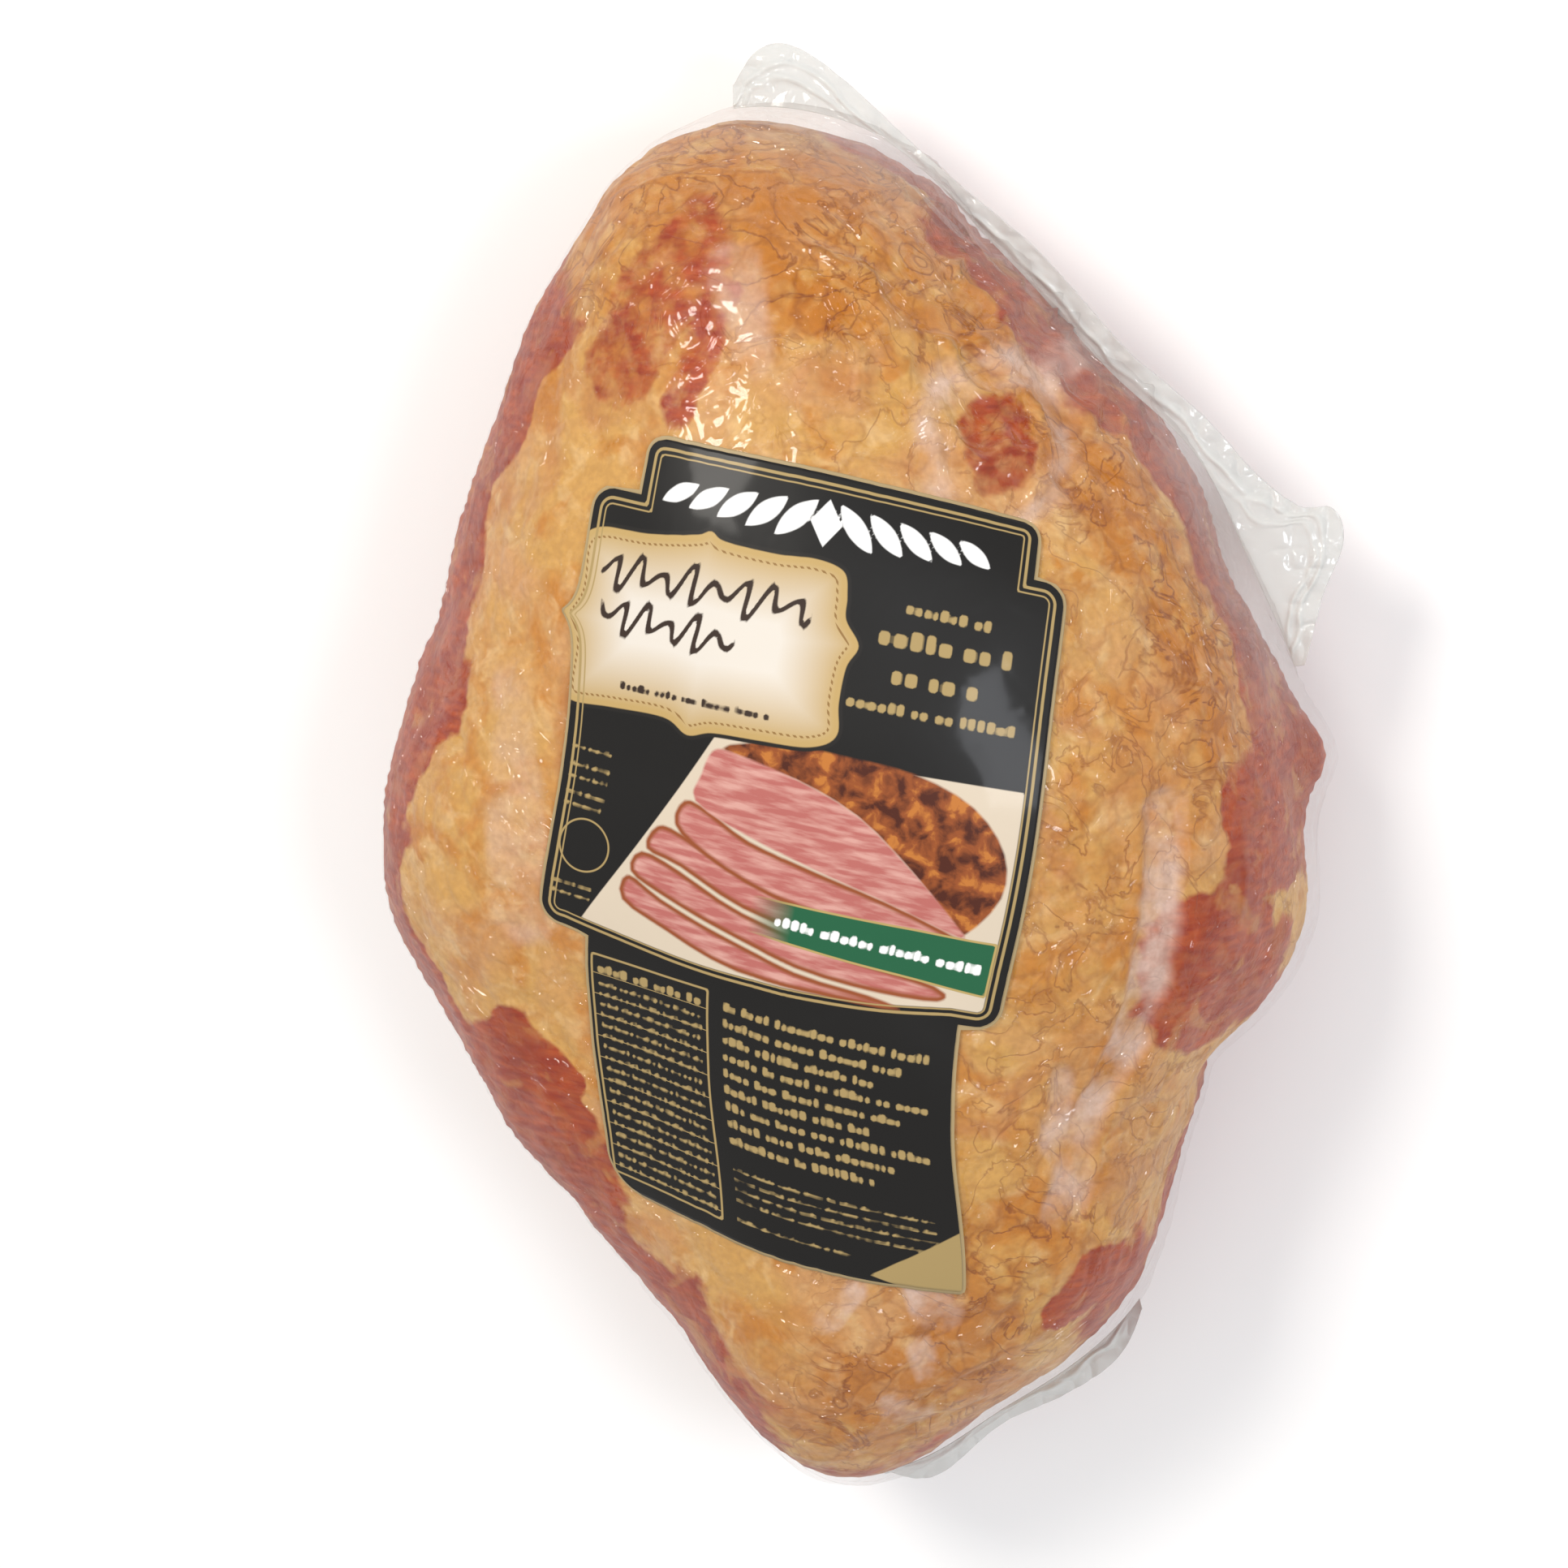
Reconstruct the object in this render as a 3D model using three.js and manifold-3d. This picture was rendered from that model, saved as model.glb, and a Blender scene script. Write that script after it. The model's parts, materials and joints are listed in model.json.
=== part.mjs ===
// A whole boneless smoked ham, sealed in a clear heat-shrunk bag, with a
// two-ply label on top. Millimetres, +Z up, +Y along the ham to its broad end.
// The ham lies on its back; the origin is under the middle of the object's box.
import * as THREE from 'three';
import { mergeVertices } from 'three/addons/utils/BufferGeometryUtils.js';
import Module from 'manifold-3d';

const wasm = await Module();
wasm.setup();

// ---------------------------------------------------------------- sizes
const HAM_WIDTH = 220;          // across, +X
const HAM_LENGTH = 327;         // along, +Y
const HAM_HEIGHT = 122;         // crown over the middle, above the table
const RIM_HEIGHT = 50;          // where the ham is widest, above the table
const DOME_FULLNESS = 2.4;      // 2 is an ellipse, more is squarer
const BASE_FULLNESS = 3.0;
const BASE_SINK = 1.12;         // how far the rounded base would pass the table

const FILM = 0.4;               // film wall, thicker than real so it stays solid
const GAP = 0.3;                // clearance between one piece and the next
const TENT_SPREAD = 24;         // degrees of latitude the film stands off the rim
const TENT_INSIDE = 0.6;        // share of the standing-off that is hollow
const SEAL_THICKNESS = 0.8;     // the two fused films of a seal flap
const SEAL_ROOT = 1.0;          // how deep a flap is sunk into the bag's ridge
const SEAL_WAVE = 3.5;          // up and down of a flap's free edge
const VENT_RADIUS = 2.0;        // one small opening under the bag
const VENT_PLACE = -45;         // along Y

const LABEL_WIDTH = 113;        // flat, at its widest
const LABEL_HEIGHT = 182;       // flat, foot to head
const LABEL_TURN = -10.1;       // degrees, about +Z
const LABEL_MIDDLE = [0.6, -8.5];
const LABEL_SLANT = -0.066;     // sideways lean of the label's long axis
const PLY = 0.2;                // one label ply
const LABEL_GAP = 0.45;         // clearance over the bag's facets
const BASE_PLY_MARGIN = 1.2;    // the base ply shows this much around the peel ply

const AROUND = 60;              // facets around the ham
const ROWS = 28;                // facets from pole to pole

// Plan outline: radius every 15 degrees, counter-clockwise from +X.
const OUTLINE = [
  107, 105, 103, 110, 114, 128, 150, 159, 139, 120, 108.5, 107,
  111, 116, 113.5, 120, 126, 141, 171, 156, 141, 117, 109, 109,
];

// How far the film stands off the meat at the rim, at the same stations.
const TENT = [
  4, 5.5, 7, 5, 4, 4.5, 6, 1.5, 0, 0, 0, 0,
  0, 0, 0, 0, 0.8, 2.5, 4, 4, 3.5, 1.5, 2, 3,
];

// Soft rises and hollows of the crown: [x, y, reach x, reach y, height].
const CROWN_LUMPS = [
  [15, 35, 70, 70, 6],
  [-45, -60, 40, 50, -6],
  [25, -130, 40, 30, 4],
  [0, 150, 50, 30, 6],
];

// Knobs and hollows of the flank: [degrees, z, spread, spread z, reach].
const FLANK_LUMPS = [
  [5, 34, 6, 14, 7],
  [343, 44, 12, 24, 4],
  [325, 48, 5, 26, -4],
  [157, 50, 5, 30, -3.5],
  [222, 46, 6, 28, -3.5],
  [200, 36, 14, 22, 3],
];

// Seal flaps: [degrees, reach past the meat], along the free edge.
const LONG_SEAL = [
  [100, 8], [95.5, 19], [85, 9], [71.5, 11.5], [56, 10.5], [42, 13],
  [34, 21], [31.5, 29], [28, 28], [23.5, 18], [17, 8],
];
const SHORT_SEAL = [[300, 5], [296, 9], [290, 9], [283, 7.5], [277, 10.5], [273, 5]];

// Die-cut label, from its foot to its head: [height, left edge, right edge]. Its
// proportions only: LABEL_WIDTH and LABEL_HEIGHT set its size.
const LABEL_OUTLINE = [
  [-90, -34, 44.5], [-82, -43, 45], [-63, -43, 45], [-44, -43, 45], [-25.5, -43, 45],
  [-23, -50, 49], [-18, -55.5, 53.5], [-3, -55.5, 53.5], [16, -55.5, 53.5],
  [35, -55.5, 53.5], [49, -59.5, 53.5], [59, -55.5, 53.5], [73, -55.5, 53.5],
  [79, -46.5, 47.5], [92, -43.5, 46],
];

// ------------------------------------------------------------- materials
function material(name, color, roughness, metalness = 0) {
  return new THREE.MeshStandardMaterial({ name, color, roughness, metalness });
}

const smokedMeat = material('smoked_meat', '#cf9256', 0.42);
const clearFilm = material('clear_film', '#e9e6df', 0.12);
clearFilm.transparent = true;
clearFilm.opacity = 0.3;
const whitePaper = material('label_backing', '#d9d2bd', 0.5);
const printedPaper = material('label_print', '#1d1a17', 0.32);

// --------------------------------------------------------------- helpers
const radians = THREE.MathUtils.degToRad;
const clamp = THREE.MathUtils.clamp;

// A smooth closed curve of numbers spaced evenly round the turn.
function around(stations, angle) {
  const count = stations.length;
  const at = THREE.MathUtils.euclideanModulo(angle / (2 * Math.PI), 1) * count;
  const first = Math.floor(at);
  const t = at - first;
  const [a, b, c, d] = [-1, 0, 1, 2].map((k) => stations[(first + k + count) % count]);
  return b + 0.5 * t * (c - a + t * (2 * a - 5 * b + 4 * c - d + t * (3 * (b - c) + d - a)));
}

// Scales that bring the plan outline to the stated width and length.
function outlineScale() {
  let [left, right, near, far] = [0, 0, 0, 0];
  for (let degree = 0; degree < 360; degree += 1) {
    const r = around(OUTLINE, radians(degree));
    const x = r * Math.cos(radians(degree));
    const y = r * Math.sin(radians(degree));
    [left, right] = [Math.min(left, x), Math.max(right, x)];
    [near, far] = [Math.min(near, y), Math.max(far, y)];
  }
  return [HAM_WIDTH / (right - left), HAM_LENGTH / (far - near)];
}
const [SCALE_X, SCALE_Y] = outlineScale();

// Height of the crown over a point of the plan.
function crown(x, y) {
  let z = HAM_HEIGHT;
  for (const [cx, cy, reachX, reachY, height] of CROWN_LUMPS) {
    z += height * Math.exp(-(((x - cx) / reachX) ** 2) - ((y - cy) / reachY) ** 2);
  }
  return z;
}

// Extra reach of the flank's knobs and hollows.
function flank(angle, z) {
  let reach = 0;
  for (const [degrees, at, spread, spreadZ, height] of FLANK_LUMPS) {
    const turn = THREE.MathUtils.radToDeg(angle) - degrees;
    const off = THREE.MathUtils.euclideanModulo(turn + 180, 360) - 180;
    reach += height * Math.exp(-((off / spread) ** 2) - ((z - at) / spreadZ) ** 2);
  }
  return reach;
}

// The ham's surface: latitude 90 deg is the crown, 0 the rim, -90 the base.
function hamPoint(angle, latitude) {
  const lift = Math.sin(latitude);
  const fullness = lift >= 0 ? DOME_FULLNESS : BASE_FULLNESS;
  const share = Math.max(Math.cos(latitude), 0) ** (2 / fullness);
  const rise = Math.abs(lift) ** (2 / fullness);
  const r = around(OUTLINE, angle) * share;
  const x = r * Math.cos(angle) * SCALE_X;
  const y = r * Math.sin(angle) * SCALE_Y;
  const depth = lift >= 0 ? crown(x, y) - RIM_HEIGHT : -RIM_HEIGHT * BASE_SINK;
  const z = Math.max(RIM_HEIGHT + depth * rise, FILM + GAP);
  const push = flank(angle, z) * share ** 2 / Math.max(Math.hypot(x, y), 1);
  return new THREE.Vector3(x * (1 + push), y * (1 + push), z);
}

// Outward direction of the ham's surface.
function hamNormal(angle, latitude) {
  const step = 0.01;
  if (Math.abs(latitude) > Math.PI / 2 - step) {
    return new THREE.Vector3(0, 0, Math.sign(latitude));
  }
  const east = hamPoint(angle + step, latitude).sub(hamPoint(angle - step, latitude));
  const north = hamPoint(angle, latitude + step).sub(hamPoint(angle, latitude - step));
  return east.cross(north).normalize();
}

// Film standing off the rim, full at latitude 0 and gone at the spread.
function tent(angle, latitude) {
  const near = 1 - Math.abs(latitude) / radians(TENT_SPREAD);
  return Math.max(around(TENT, angle), 0) * Math.max(near, 0) ** 1.3;
}

// A skin over the ham: `lift` along the normal, and a share of the film's tent.
function skinPoint(angle, latitude, lift, tentShare) {
  const point = hamPoint(angle, latitude);
  point.addScaledVector(hamNormal(angle, latitude), lift);
  const off = tent(angle, latitude) * tentShare;
  point.x += off * Math.cos(angle);
  point.y += off * Math.sin(angle);
  point.z = Math.max(point.z, FILM + GAP - lift);
  return point;
}

// The same closed geometry with every corner moved by `place`.
function reshape(geometry, place) {
  geometry.deleteAttribute('normal');
  geometry.deleteAttribute('uv');
  const merged = mergeVertices(geometry, 1e-6);
  const corners = merged.attributes.position;
  for (let i = 0; i < corners.count; i += 1) {
    const p = place(corners.getX(i), corners.getY(i), corners.getZ(i));
    corners.setXYZ(i, p.x, p.y, p.z);
  }
  return merged;
}

// A ball with poles on Z, reshaped by angle and latitude.
function closedSkin(place) {
  const ball = new THREE.SphereGeometry(1, AROUND, ROWS).rotateX(Math.PI / 2);
  return reshape(ball, (x, y, z) => place(Math.atan2(y, x), Math.asin(clamp(z, -1, 1))));
}

function toSolid(geometry) {
  return new wasm.Manifold(new wasm.Mesh({
    numProp: 3,
    vertProperties: new Float32Array(geometry.attributes.position.array),
    triVerts: new Uint32Array(geometry.index.array),
  }));
}

function toGeometry(solid) {
  const mesh = solid.getMesh();
  const geometry = new THREE.BufferGeometry();
  const corners = new Float32Array(mesh.numVert * 3);
  for (let i = 0; i < mesh.numVert; i += 1) {
    for (let k = 0; k < 3; k += 1) {
      corners[3 * i + k] = mesh.vertProperties[mesh.numProp * i + k];
    }
  }
  geometry.setAttribute('position', new THREE.BufferAttribute(corners, 3));
  geometry.setIndex([...mesh.triVerts]);
  return geometry;
}

function named(name, geometry, look) {
  geometry.computeVertexNormals();
  const mesh = new THREE.Mesh(geometry, look);
  mesh.name = name;
  return mesh;
}

// -------------------------------------------------------------------- ham
function makeHam() {
  return named('ham', closedSkin(hamPoint), smokedMeat);
}

// -------------------------------------------------------------------- bag
// A fused flap: root sunk in the bag's ridge, free edge along `stations`.
function sealFlap(stations) {
  const edge = new THREE.SplineCurve(
    stations.map(([degrees, reach]) => new THREE.Vector2(degrees, reach)),
  );
  const strip = new THREE.BoxGeometry(1, 1, 1, 4 * (stations.length - 1), 2, 1);
  return reshape(strip, (along, across, thick) => {
    const station = edge.getPoint(along + 0.5);
    const angle = radians(station.x);
    const ridge = skinPoint(angle, 0, FILM + GAP, 1);
    const meat = hamPoint(angle, 0);
    const from = Math.hypot(ridge.x, ridge.y) - SEAL_ROOT;
    const to = Math.max(Math.hypot(meat.x, meat.y) + station.y, from + 2 * SEAL_ROOT);
    const s = across + 0.5;
    const heading = Math.atan2(ridge.y, ridge.x);
    const r = from + (to - from) * s;
    const wave = SEAL_WAVE * s * Math.sin(6 * angle + 0.8);
    const z = ridge.z + wave + thick * SEAL_THICKNESS;
    return new THREE.Vector3(r * Math.cos(heading), r * Math.sin(heading), z);
  });
}

function makeBag() {
  const outer = toSolid(closedSkin((a, l) => skinPoint(a, l, FILM + GAP, 1)));
  const inner = toSolid(closedSkin((a, l) => skinPoint(a, l, GAP, TENT_INSIDE)));
  const vent = new THREE.CylinderGeometry(VENT_RADIUS, VENT_RADIUS, 2 * FILM, 16)
    .rotateX(Math.PI / 2);
  const hole = toSolid(reshape(vent, (x, y, z) => new THREE.Vector3(x, y + VENT_PLACE, z)));
  const bag = outer
    .add(toSolid(sealFlap(LONG_SEAL)))
    .add(toSolid(sealFlap(SHORT_SEAL)))
    .subtract(inner)
    .subtract(hole);
  return named('shrink_bag', toGeometry(bag), clearFilm);
}

// ------------------------------------------------------------------ label
// The latitude reached by going `distance` over the film from the crown.
function latitudeAt(angle, distance) {
  const step = radians(1);
  let latitude = Math.PI / 2;
  let here = skinPoint(angle, latitude, FILM + GAP, 1);
  let gone = 0;
  while (gone < distance && latitude > -Math.PI / 2 + step) {
    const next = skinPoint(angle, latitude - step, FILM + GAP, 1);
    const length = here.distanceTo(next);
    if (gone + length >= distance) return latitude - step * (distance - gone) / length;
    gone += length;
    latitude -= step;
    here = next;
  }
  return latitude;
}

// A point of the label: u across, v up the flat label, lift above the bag. The
// paper keeps its length along every line from the crown.
function labelPoint(u, v, lift) {
  const flat = new THREE.Vector2(u + LABEL_SLANT * v, v)
    .rotateAround(new THREE.Vector2(), radians(LABEL_TURN))
    .add(new THREE.Vector2(...LABEL_MIDDLE));
  const angle = Math.atan2(flat.y / SCALE_Y, flat.x / SCALE_X);
  const latitude = latitudeAt(angle, flat.length());
  return skinPoint(angle, latitude, FILM + GAP + LABEL_GAP + lift, 1);
}

// One die-cut ply laid over the bag, `grow` wider than the printed outline.
function labelPly(grow, lift) {
  const spans = LABEL_OUTLINE.length - 1;
  const sheet = new THREE.BoxGeometry(1, 1, 1, 12, 2 * spans, 1);
  const foot = LABEL_OUTLINE[0][0];
  const head = LABEL_OUTLINE[spans][0];
  const widest = Math.max(...LABEL_OUTLINE.map((row) => row[2]))
    - Math.min(...LABEL_OUTLINE.map((row) => row[1]));
  const scaleU = LABEL_WIDTH / widest;
  const scaleV = LABEL_HEIGHT / (head - foot);
  return reshape(sheet, (across, up, thick) => {
    const at = (up + 0.5) * spans;
    const row = Math.min(Math.floor(at), spans - 1);
    const t = at - row;
    const [v, left, right] = LABEL_OUTLINE[row]
      .map((value, k) => value + (LABEL_OUTLINE[row + 1][k] - value) * t);
    const [from, to] = [left * scaleU - grow, right * scaleU + grow];
    const beyond = grow * (2 * (v - foot) / (head - foot) - 1);
    const u = from + (to - from) * (across + 0.5);
    return labelPoint(u, v * scaleV + beyond, lift + (thick + 0.5) * PLY);
  });
}

function makeLabel() {
  return [
    named('label_base_ply', labelPly(BASE_PLY_MARGIN, 0), whitePaper),
    named('label_peel_ply', labelPly(0, PLY + GAP), printedPaper),
  ];
}

// ----------------------------------------------------------------- object
const packedHam = new THREE.Group();
packedHam.name = 'packed_ham';
packedHam.add(makeHam(), makeBag(), ...makeLabel());
const box = new THREE.Box3().setFromObject(packedHam);
const centre = box.getCenter(new THREE.Vector3());
packedHam.position.set(-centre.x, -centre.y, -box.min.z);

export default packedHam;
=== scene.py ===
# %% [markdown]
# # A smoked ham in its bag
#
# The object is a whole boneless smoked ham as a shop sells it: one lump of meat under a
# cap of fat, sealed in clear shrink film, with a two-ply peel-back label on the film.
# The measured solids come from a CAD frame. Everything here is built around that frame,
# in metres, with +Z up and +Y towards the ham's broad end.
#
# The shapes below are worked out in millimetres, because that is how such a thing is
# measured, and turned to metres when they go into a mesh.

# %% Load the measured frame
import json
import math
from functools import partial

import bpy
import numpy as np
from mathutils import Matrix

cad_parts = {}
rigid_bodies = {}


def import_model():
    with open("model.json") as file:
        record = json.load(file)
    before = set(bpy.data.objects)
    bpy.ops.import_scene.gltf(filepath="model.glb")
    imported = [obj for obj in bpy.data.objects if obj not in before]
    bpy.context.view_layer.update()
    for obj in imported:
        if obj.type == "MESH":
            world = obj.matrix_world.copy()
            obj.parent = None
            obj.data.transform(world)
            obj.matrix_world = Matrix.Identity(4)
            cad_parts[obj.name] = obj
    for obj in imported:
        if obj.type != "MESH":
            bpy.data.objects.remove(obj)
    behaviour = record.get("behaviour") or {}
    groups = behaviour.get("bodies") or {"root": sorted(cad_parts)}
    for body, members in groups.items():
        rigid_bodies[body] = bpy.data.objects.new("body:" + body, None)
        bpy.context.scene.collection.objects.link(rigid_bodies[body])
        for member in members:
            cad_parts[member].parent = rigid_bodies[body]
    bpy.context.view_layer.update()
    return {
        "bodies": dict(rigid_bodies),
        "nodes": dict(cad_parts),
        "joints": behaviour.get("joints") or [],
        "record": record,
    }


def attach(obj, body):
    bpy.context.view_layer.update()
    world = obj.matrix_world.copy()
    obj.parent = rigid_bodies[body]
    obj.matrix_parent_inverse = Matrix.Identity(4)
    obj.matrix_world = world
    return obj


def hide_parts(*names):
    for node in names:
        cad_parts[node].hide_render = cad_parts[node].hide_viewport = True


for left_over in list(bpy.data.objects):
    bpy.data.objects.remove(left_over)
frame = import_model()
MM = 0.001

# %% [markdown]
# ## Seeing it
#
# The ham is seen from above and a little from its upper right. A long lens keeps the far
# end from shrinking. The camera comes first, so that every later choice of detail can be
# made for what it sees.

# %% Camera
AIM = np.array([-16.1, 0.7, 50.0]) * MM
CAMERA_TILT = math.radians(17)
CAMERA_HEADING = math.radians(45)
CAMERA_DISTANCE = 0.890
LENS_LENGTH, SENSOR_WIDTH, NEAREST_SEEN = 85, 36, 0.01

away = np.array([
    math.sin(CAMERA_TILT) * math.cos(CAMERA_HEADING),
    math.sin(CAMERA_TILT) * math.sin(CAMERA_HEADING),
    math.cos(CAMERA_TILT),
])
up = np.array([0.0, 1.0, 0.0]) - away * away[1]
up /= np.linalg.norm(up)
right = np.cross(up, away)
lens = bpy.data.cameras.new("camera")
lens.lens = LENS_LENGTH
lens.sensor_width = SENSOR_WIDTH
lens.clip_start = NEAREST_SEEN
camera = bpy.data.objects.new("camera", lens)
placing = np.eye(4)
placing[:3, 0], placing[:3, 1], placing[:3, 2] = right, up, away
placing[:3, 3] = AIM + away * CAMERA_DISTANCE
camera.matrix_world = Matrix(placing.tolist())
bpy.context.scene.collection.objects.link(camera)
bpy.context.scene.camera = camera
print("camera at", np.round(placing[:3, 3], 3))

# %% [markdown]
# ## Colour and nodes
#
# Colours are written as sRGB hex values, as a paint chart gives them. Blender's sockets
# want linear values, so one function turns them. One more function adds a node with its
# settings and links, and nothing else in the file makes nodes.

# %% Colour and node helpers
def linear(code):
    """sRGB hex to linear RGBA: each channel c becomes ((c + 0.055) / 1.055) ** 2.4, and the
    darkest ones are divided by 12.92 instead."""
    channels = [int(code[i:i + 2], 16) / 255 for i in (1, 3, 5)]
    return [c / 12.92 if c < 0.04045 else ((c + 0.055) / 1.055) ** 2.4
            for c in channels] + [1.0]


def add(tree, kind, inputs=None, out=0, **settings):
    """Adds a node and returns one of its outputs. `inputs` maps a socket to a value, or
    to the output that feeds it."""
    made = tree.nodes.new("ShaderNode" + kind)
    for name, value in settings.items():
        setattr(made, name, value)
    for key, value in (inputs or {}).items():
        if isinstance(value, bpy.types.NodeSocket):
            tree.links.new(value, made.inputs[key])
        else:
            made.inputs[key].default_value = value
    return made.outputs[out] if len(made.outputs) else made


def new_material(name):
    """An empty node material, its tree, and `add` already bound to that tree."""
    material = bpy.data.materials.new(name)
    material.use_nodes = True
    material.node_tree.nodes.clear()
    print("material", name)
    return material, partial(add, material.node_tree)


def painted(node, base, layers):
    """Colours laid over one another: each (share, colour) covers what is below it."""
    for share, colour in layers:
        colour = linear(colour) if isinstance(colour, str) else colour
        base = node("Mix", {0: share, 6: base, 7: colour}, 2, data_type="RGBA")
    return base


print("fat tan in linear light:", np.round(linear("#cf9f62"), 3))

# %% [markdown]
# ## Noise on whole arrays
#
# Meat has no straight line in it, so most of its relief is noise. The two usual kinds are
# smooth noise, for swells and soft edges, and cell noise, for the lobes of fat. Both are
# worked out here for all points at once.

# %% Noise
CORNERS = [(i, j, k) for i in (0, 1) for j in (0, 1) for k in (0, 1)]
NEIGHBOURS = [(i, j, k) for i in (-1, 0, 1) for j in (-1, 0, 1) for k in (-1, 0, 1)]


def chance(cells, seed):
    """A repeatable random number from 0 to 1 for each whole-number cell."""
    x, y, z = (cells[..., k].astype(np.uint64) for k in range(3))
    with np.errstate(over="ignore"):
        h = x * np.uint64(374761393) + y * np.uint64(668265263)
        h = h + z * np.uint64(2246822519) + np.uint64(seed * 3266489917 + 374761)
        h = (h ^ (h >> np.uint64(15))) * np.uint64(2654435761)
        h = (h ^ (h >> np.uint64(13))) * np.uint64(1274126177)
    return ((h >> np.uint64(16)) & np.uint64(0xFFFF)).astype(float) / 65535


def noise(points, size, seed=0):
    """Random values from -1 to 1 on a lattice of `size` mm, blended by 6t^5-15t^4+10t^3."""
    at = points / size
    cell = np.floor(at).astype(np.int64)
    t = at - cell
    t = t * t * t * (t * (6 * t - 15) + 10)
    total = 0.0
    for corner in CORNERS:
        weight = np.prod(np.where(corner, t, 1 - t), axis=-1)
        total = total + weight * chance(cell + np.array(corner), seed)
    return 2 * total - 1


def rough_noise(points, size, seed=0, octaves=3):
    """Noise with finer and weaker copies of itself added, each half the size and weight."""
    return sum(noise(points, size / 2 ** k, seed + k) / 2 ** k for k in range(octaves))


def cells(points, size, seed=0):
    """Cell noise: distance to the nearest and to the second nearest random point."""
    at = points / size
    cell = np.floor(at).astype(np.int64)
    nearest = np.full(points.shape[:-1], 9.0)
    second = nearest.copy()
    for offset in NEIGHBOURS:
        other = cell + np.array(offset)
        spot = np.stack([chance(other, seed + k) for k in range(3)], axis=-1)
        gap = np.linalg.norm(other + spot - at, axis=-1)
        second = np.minimum(np.maximum(nearest, gap), second)
        nearest = np.minimum(nearest, gap)
    return nearest, second


def rise(value, low, high):
    """0 below low, 1 above high, and a smooth step 3t^2-2t^3 between."""
    t = np.clip((value - low) / (high - low), 0, 1)
    return t * t * (3 - 2 * t)


def capsule(x, y, start, end, width):
    """Distance from (x, y) to the line from start to end, over `width`."""
    (x0, y0), (x1, y1) = start, end
    length2 = (x1 - x0) ** 2 + (y1 - y0) ** 2
    t = np.clip(((x - x0) * (x1 - x0) + (y - y0) * (y1 - y0)) / max(length2, 1e-9), 0, 1)
    return np.hypot(x - x0 - t * (x1 - x0), y - y0 - t * (y1 - y0)) / width


print("noise of one point:", noise(np.array([[3.0, 4.0, 5.0]]), 10.0))

# %% [markdown]
# ## The ham's form
#
# A ham seen from above has a lopsided outline, and seen from the side it is a flattened
# dome on a flatter base. The form is therefore an outline radius round the turn, times a
# superellipse from crown to rim to base, with a few soft lumps on the crown and knobs on
# the flank. Its numbers are the frame's own, so the fine surface lies on the measured one.

# %% Form of the ham
# OUTLINE is the radius in mm at every 15 degrees of heading, and TENT is how far the film
# stands off there.
OUTLINE = np.array([
    107, 105, 103, 110, 114, 128, 150, 159, 139, 120, 108.5, 107,
    111, 116, 113.5, 120, 126, 141, 171, 156, 141, 117, 109, 109])
TENT = np.array([
    4, 5.5, 7, 5, 4, 4.5, 6, 1.5, 0, 0, 0, 0,
    0, 0, 0, 0, 0.8, 2.5, 4, 4, 3.5, 1.5, 2, 3])
HAM_WIDTH, HAM_LENGTH, HAM_HEIGHT = 220, 327, 122
RIM_HEIGHT = 50
DOME_FULLNESS, BASE_FULLNESS, BASE_SINK = 2.4, 3.0, 1.12
TENT_SPREAD, TENT_FALL = 24, 1.3
FLOOR_GAP = 0.7
# Lumps on the crown: x, y, spread in x, spread in y, height. Lumps and notches of the
# flank: heading, height up the flank, spread in degrees, spread in mm, reach.
CROWN_LUMPS = [(15, 35, 70, 70, 6), (-45, -60, 40, 50, -6),
               (25, -130, 40, 30, 4), (0, 150, 50, 30, 6)]
FLANK_LUMPS = [(5, 34, 6, 14, 7), (343, 44, 12, 24, 4), (325, 48, 5, 26, -4),
               (157, 50, 5, 30, -3.5), (222, 46, 6, 28, -3.5), (200, 36, 14, 22, 3)]


def around(stations, angle):
    """A smooth closed curve (Catmull-Rom) through values spaced evenly round the turn."""
    count = len(stations)
    at = (angle / (2 * np.pi)) % 1 * count
    first = np.floor(at).astype(int)
    t = at - first
    a, b, c, d = (stations[(first + k) % count] for k in (-1, 0, 1, 2))
    return b + 0.5 * t * (c - a + t * (2 * a - 5 * b + 4 * c - d + t * (3 * (b - c) + d - a)))


def form(angle, latitude, scale=(1.0, 1.0)):
    """The ham in mm: outline radius times cos(latitude)^(2/fullness), and height by
    sin(latitude)^(2/fullness) up to the crown or down to the flattened base."""
    lift = np.sin(latitude)
    fullness = np.where(lift >= 0, DOME_FULLNESS, BASE_FULLNESS)
    share = np.clip(np.cos(latitude), 0, 1) ** (2 / fullness)
    r = around(OUTLINE, angle) * share
    x, y = r * np.cos(angle) * scale[0], r * np.sin(angle) * scale[1]
    crown = HAM_HEIGHT + sum(
        height * np.exp(-((x - cx) / rx) ** 2 - ((y - cy) / ry) ** 2)
        for cx, cy, rx, ry, height in CROWN_LUMPS)
    depth = np.where(lift >= 0, crown - RIM_HEIGHT, -RIM_HEIGHT * BASE_SINK)
    z = np.maximum(RIM_HEIGHT + depth * np.abs(lift) ** (2 / fullness), FLOOR_GAP)
    push = 0.0
    for degrees, at, spread, spread_z, reach in FLANK_LUMPS:
        off = (np.degrees(angle) - degrees + 180) % 360 - 180
        push = push + reach * np.exp(-(off / spread) ** 2 - ((z - at) / spread_z) ** 2)
    push = push * share ** 2 / np.maximum(np.hypot(x, y), 1)
    return np.stack([x * (1 + push), y * (1 + push), z], axis=-1)


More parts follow.
